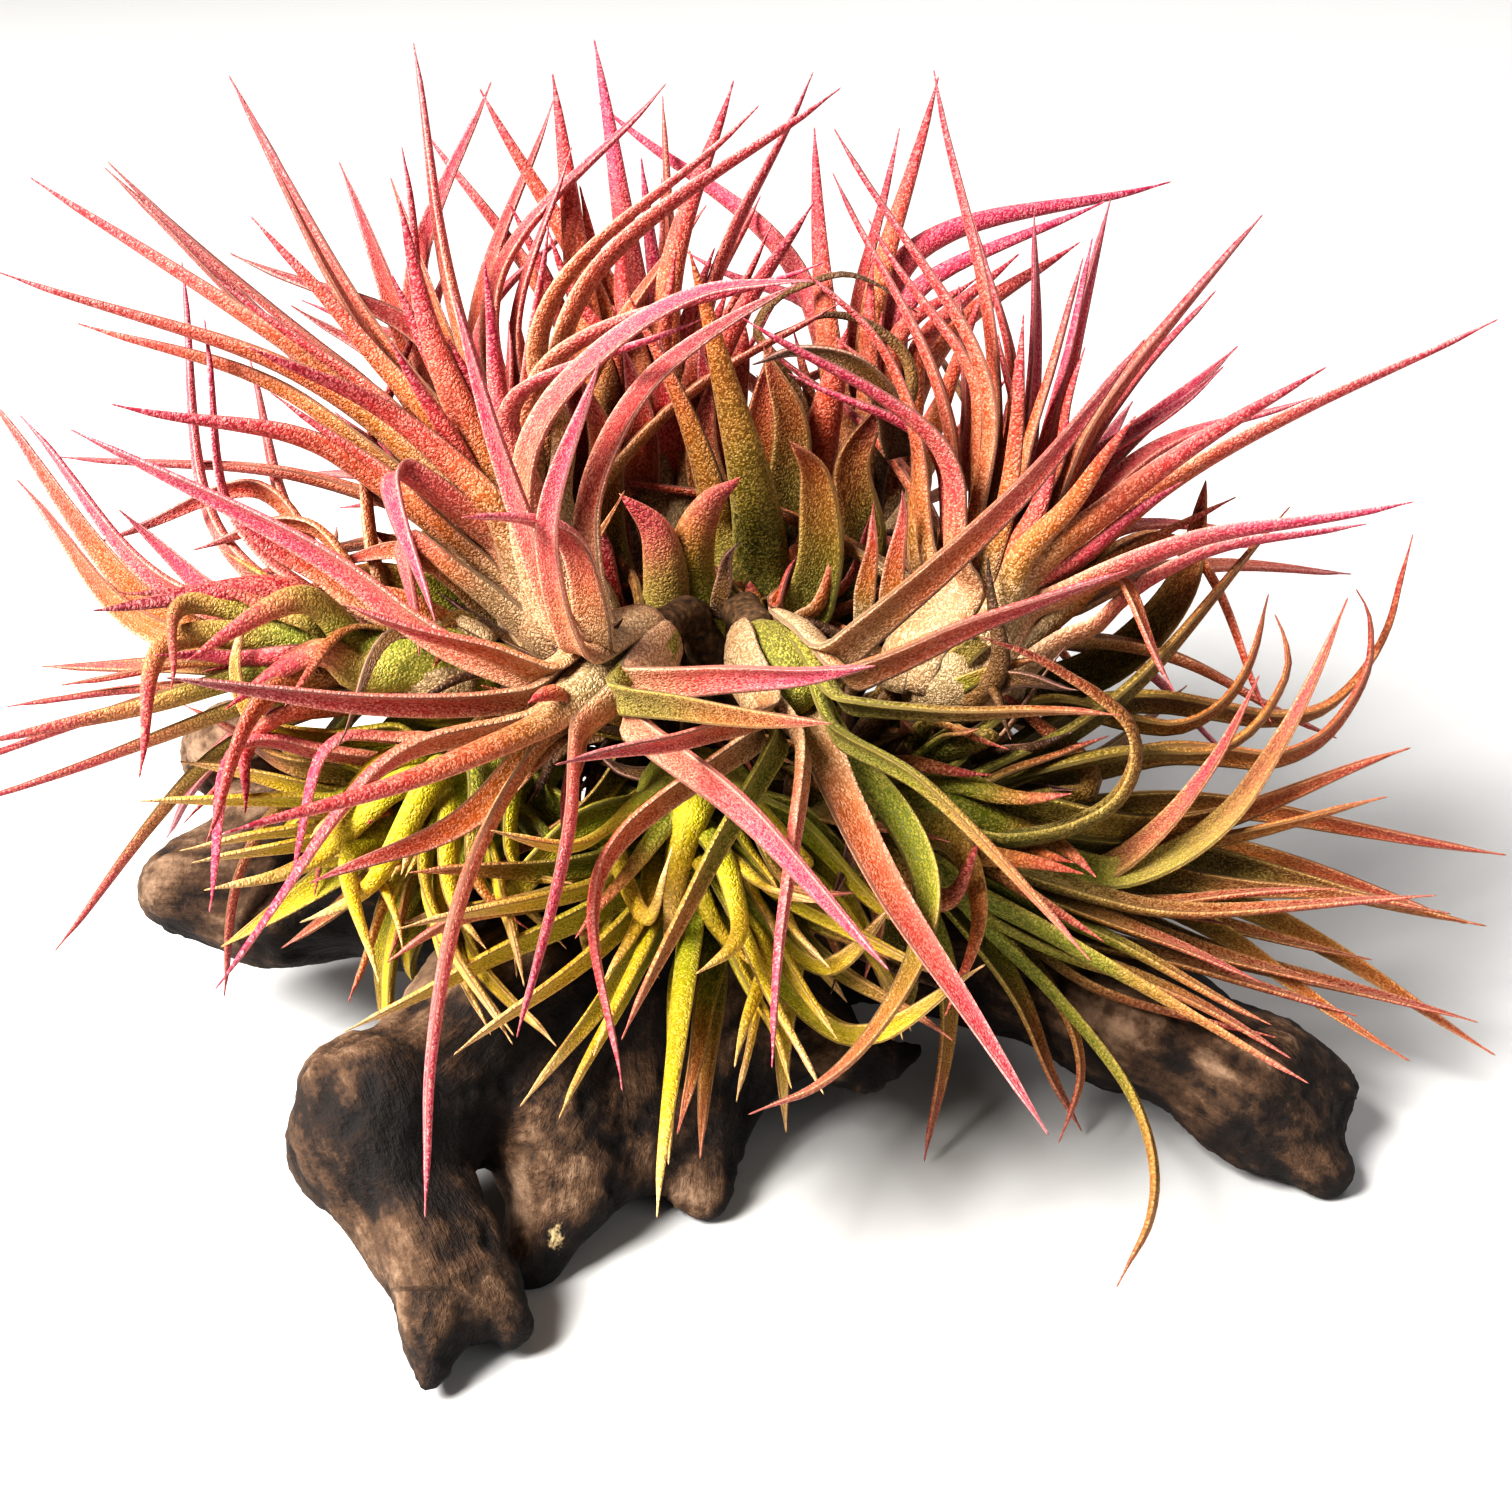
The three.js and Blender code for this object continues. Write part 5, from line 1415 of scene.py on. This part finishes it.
def woodPiece():
    low, high, cell = np.array(driftwood["low"], float), np.array(driftwood["high"]), driftwood["cell"]
    axes = [np.arange(a, b, cell) for a, b in zip(low, high)]
    grid = np.stack(np.meshgrid(*axes, indexing="ij"), axis=-1)
    values = worn(weathered(woodDistance(grid), grid), driftwood["wearing"])
    # the feet are worn flat at the floor
    values = np.maximum(values, -grid[..., 2])
    values[values == 0] = 1e-6
    vertices, faces = skinOf(values, low, cell)
    slopes = skinNormals(vertices, faces)
    grain = grainOf(vertices)
    lift = np.zeros(len(vertices))
    hollowAndPaintedShade = np.zeros(len(vertices))
    knobShare, creaseShare, pitShare, fibreShare = driftwood["hollowShares"]
    for n, (point, thread) in enumerate(zip(vertices, grain)):
        spot = Vector(point)
        knob = noise.fractal(spot / driftwood["knobSize"], 0.9, 2.1, 3)
        crease = -max(0, 1 - 5 * abs(noise.noise(spot / driftwood["creaseSize"] + Vector((0, 30, 0)))))
        pit = min(0, noise.fractal(spot / driftwood["pitSize"] + Vector((40, 0, 0)), 0.8, 2.0, 2) + 0.1)
        fibre = noise.fractal(Vector(thread) / driftwood["fibreSize"], 0.8, 2.0, 3)
        lift[n] = (driftwood["knobDepth"] * knob + driftwood["creaseDepth"] * crease
                   + driftwood["pitDepth"] * pit + driftwood["fibreDepth"] * fibre)
        hollowAndPaintedShade[n] = knobShare * knob + creaseShare * crease + pitShare * pit + fibreShare * fibre
    # painted light and shade: faces turned up and to the left, towards the key lamp, are painted lighter,
    # and the other faces are painted darker
    hollowAndPaintedShade += driftwood["paintedLightStrength"] * (slopes @ unit(np.array(driftwood["paintedLightSide"])) - 0.3)
    # painted light: the slab beside the front foot is painted paler, as a painted pool of light
    offLitPatch = np.linalg.norm(vertices - driftwood["paintedLitPatch"], axis=1) / driftwood["paintedLitPatchSize"]
    hollowAndPaintedShade += driftwood["paintedLitPatchStrength"] * np.exp(-offLitPatch ** 2)
    fade = np.clip(vertices[:, 2] / driftwood["floorFade"], 0, 1)
    vertices = vertices + slopes * (lift * fade)[:, None]
    vertices[:, 2] = np.maximum(vertices[:, 2], 0)
    offChip = np.linalg.norm((vertices - driftwood["chip"]) / driftwood["chipSize"], axis=1)
    chip = np.exp(-offChip ** 2)
    attributes = {"hollowAndPaintedShade": hollowAndPaintedShade, "chip": chip, "grainPlace": grain}
    piece = meshObject("driftwood_skin", vertices, faces.tolist(), attributes, [woodMaterial()])
    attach(piece, "root")
    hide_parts("driftwood")


woodPiece()
print("driftwood shaped")


# Bark of the woody stem, as it dried: matt and fibrous, warm brown with paler ridges. Sizes in mm.
bark = {
    "fibreWidth": 1.2,
    "colours": [(0.3, "#2c1f14"), (0.55, "#5f462c"), (0.8, "#8f7350")],
    "roughness": 0.85,
    "ior": 1.5,
    "bumpHeight": 0.4,
}


def barkMaterial():
    material, tree = newMaterial("stem_bark_dry")
    place = addNode(tree, "ShaderNodeTexCoord").outputs["Object"]
    fibres = addNode(tree, "ShaderNodeTexNoise", None, {
        "Vector": place, "Scale": 1 / (bark["fibreWidth"] * mm), "Detail": 4.0})
    ramp = addNode(tree, "ShaderNodeValToRGB", None, {"Fac": fibres.outputs["Fac"]})
    colour = setStops(ramp, bark["colours"])
    bump = addNode(tree, "ShaderNodeBump", None, {
        "Strength": 0.7, "Distance": bark["bumpHeight"] * mm, "Height": fibres.outputs["Fac"]})
    shader = addNode(tree, "ShaderNodeBsdfPrincipled", None, {
        "Base Color": colour, "Roughness": bark["roughness"], "IOR": bark["ior"], "Normal": bump.outputs[0]})
    addNode(tree, "ShaderNodeOutputMaterial", None, {"Surface": shader.outputs[0]})
    return material


# A closed, slightly lumpy tube round a line, and its faces numbered from the start given
def tubeAlong(line, radius, start):
    line = smoothLine(line, stem["rings"])
    tangents = unit(np.gradient(line, axis=0))
    side = unit(np.cross(tangents, [0.2, 0.1, 1]))
    up = np.cross(side, tangents)
    angles = 2 * math.pi * np.arange(stem["sides"]) / stem["sides"]
    lumps = 1 + 0.1 * np.sin(np.arange(len(line)) * 1.7)[:, None] + 0.06 * np.cos(3 * angles)[None]
    rim = side[:, None] * np.cos(angles)[None, :, None] + up[:, None] * np.sin(angles)[None, :, None]
    surface = (line[:, None] + rim * radius * lumps[..., None]).reshape(-1, 3)
    sides = stem["sides"]
    faces = [(start + i * sides + k, start + i * sides + (k + 1) % sides,
              start + (i + 1) * sides + (k + 1) % sides, start + (i + 1) * sides + k)
             for i in range(len(line) - 1) for k in range(sides)]
    faces.append([start + k for k in reversed(range(sides))])
    faces.append([start + (len(line) - 1) * sides + k for k in range(sides)])
    return surface, faces


def stemPiece():
    vertices, faces = [], []
    for line, radius in [(stem["trunk"], stem["trunkRadius"])] + [
            (branchLine(rosette), stem["branchRadius"]) for rosette in rosettes.values()]:
        surface, rings = tubeAlong(line, radius, sum(len(part) for part in vertices))
        vertices.append(surface)
        faces += rings
    piece = meshObject("stem_bark", np.vstack(vertices), faces, {}, [barkMaterial()])
    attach(piece, "root")
    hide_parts("stem")


stemPiece()
print("stem made")

# A seamless pale floor, rolled with matt paint, so that shadows on it are soft and nothing is mirrored
floorSheet = {"size": 6.0, "paint": "#c2c2c2", "palerPaint": "#c8c8c8", "roughness": 0.9}


def floorPiece():
    half = floorSheet["size"] / 2
    mesh = bpy.data.meshes.new("studio_floor")
    corners = [(-half, -half, 0), (half, -half, 0), (half, half, 0), (-half, half, 0)]
    mesh.from_pydata(corners, [], [(0, 1, 2, 3)])
    material, tree = newMaterial("floor_matt_paint")
    place = addNode(tree, "ShaderNodeTexCoord").outputs["Object"]
    mottle = addNode(tree, "ShaderNodeTexNoise", None, {"Vector": place, "Scale": 3.0, "Detail": 2.0})
    ramp = addNode(tree, "ShaderNodeValToRGB", None, {"Fac": mottle.outputs["Fac"]})
    paint = setStops(ramp, [(0.0, floorSheet["paint"]), (1.0, floorSheet["palerPaint"])])
    shader = addNode(tree, "ShaderNodeBsdfPrincipled", None, {
        "Base Color": paint, "Roughness": floorSheet["roughness"]})
    addNode(tree, "ShaderNodeOutputMaterial", None, {"Surface": shader.outputs[0]})
    mesh.materials.append(material)
    piece = bpy.data.objects.new("studio_floor", mesh)
    scene.collection.objects.link(piece)


floorPiece()

# Soft studio light: place and aim in metres, size in metres, power in watts
lights = {
    "key": {"at": (-0.82, -0.5, 1.05), "aim": (0, 0, 0.06), "size": 0.6, "power": 54,
            "colour": (1, 0.98, 0.95)},
    "fill": {"at": (0.9, -0.7, 0.6), "aim": (0, 0, 0.06), "size": 0.9, "power": 3.0,
             "colour": (0.96, 0.98, 1)},
    "back": {"at": (0.5, 1.1, 1.0), "aim": (0, 0.1, 0.05), "size": 0.9, "power": 8,
             "colour": (1, 1, 1)},
}
surroundings = {"colour": (1, 0.96, 0.9, 1), "strength": 0.12}
for name, setup in lights.items():
    lamp = bpy.data.lights.new(name, "AREA")
    lamp.shape = "SQUARE"
    lamp.size = setup["size"]
    lamp.energy = setup["power"]
    lamp.color = setup["colour"]
    holder = bpy.data.objects.new(name, lamp)
    holder.location = setup["at"]
    towards = Vector(setup["aim"]) - Vector(setup["at"])
    holder.rotation_euler = towards.to_track_quat("-Z", "Y").to_euler()
    scene.collection.objects.link(holder)

world = bpy.data.worlds.new("studio")
world.use_nodes = True
world.node_tree.nodes["Background"].inputs["Color"].default_value = surroundings["colour"]
world.node_tree.nodes["Background"].inputs["Strength"].default_value = surroundings["strength"]
scene.world = world
scene.view_settings.view_transform = "Standard"
scene.view_settings.look = "High Contrast"

# The camera stands as the photographer did: 30 degrees up, 42 cm from the clump, 55 mm lens
viewer = {"distance": 0.42, "aim": (0.00164, -0.00172, 0.062), "lens": 55, "sensor": 36}
camera = bpy.data.objects.new("camera", bpy.data.cameras.new("camera"))
camera.data.lens = viewer["lens"]
camera.data.sensor_width = viewer["sensor"]
camera.location = Vector(viewer["aim"]) + Vector(nearer) * viewer["distance"]
camera.rotation_euler = (-Vector(nearer)).to_track_quat("-Z", "Y").to_euler()
scene.collection.objects.link(camera)
scene.camera = camera
print("light and camera set")

bpy.context.view_layer.update()
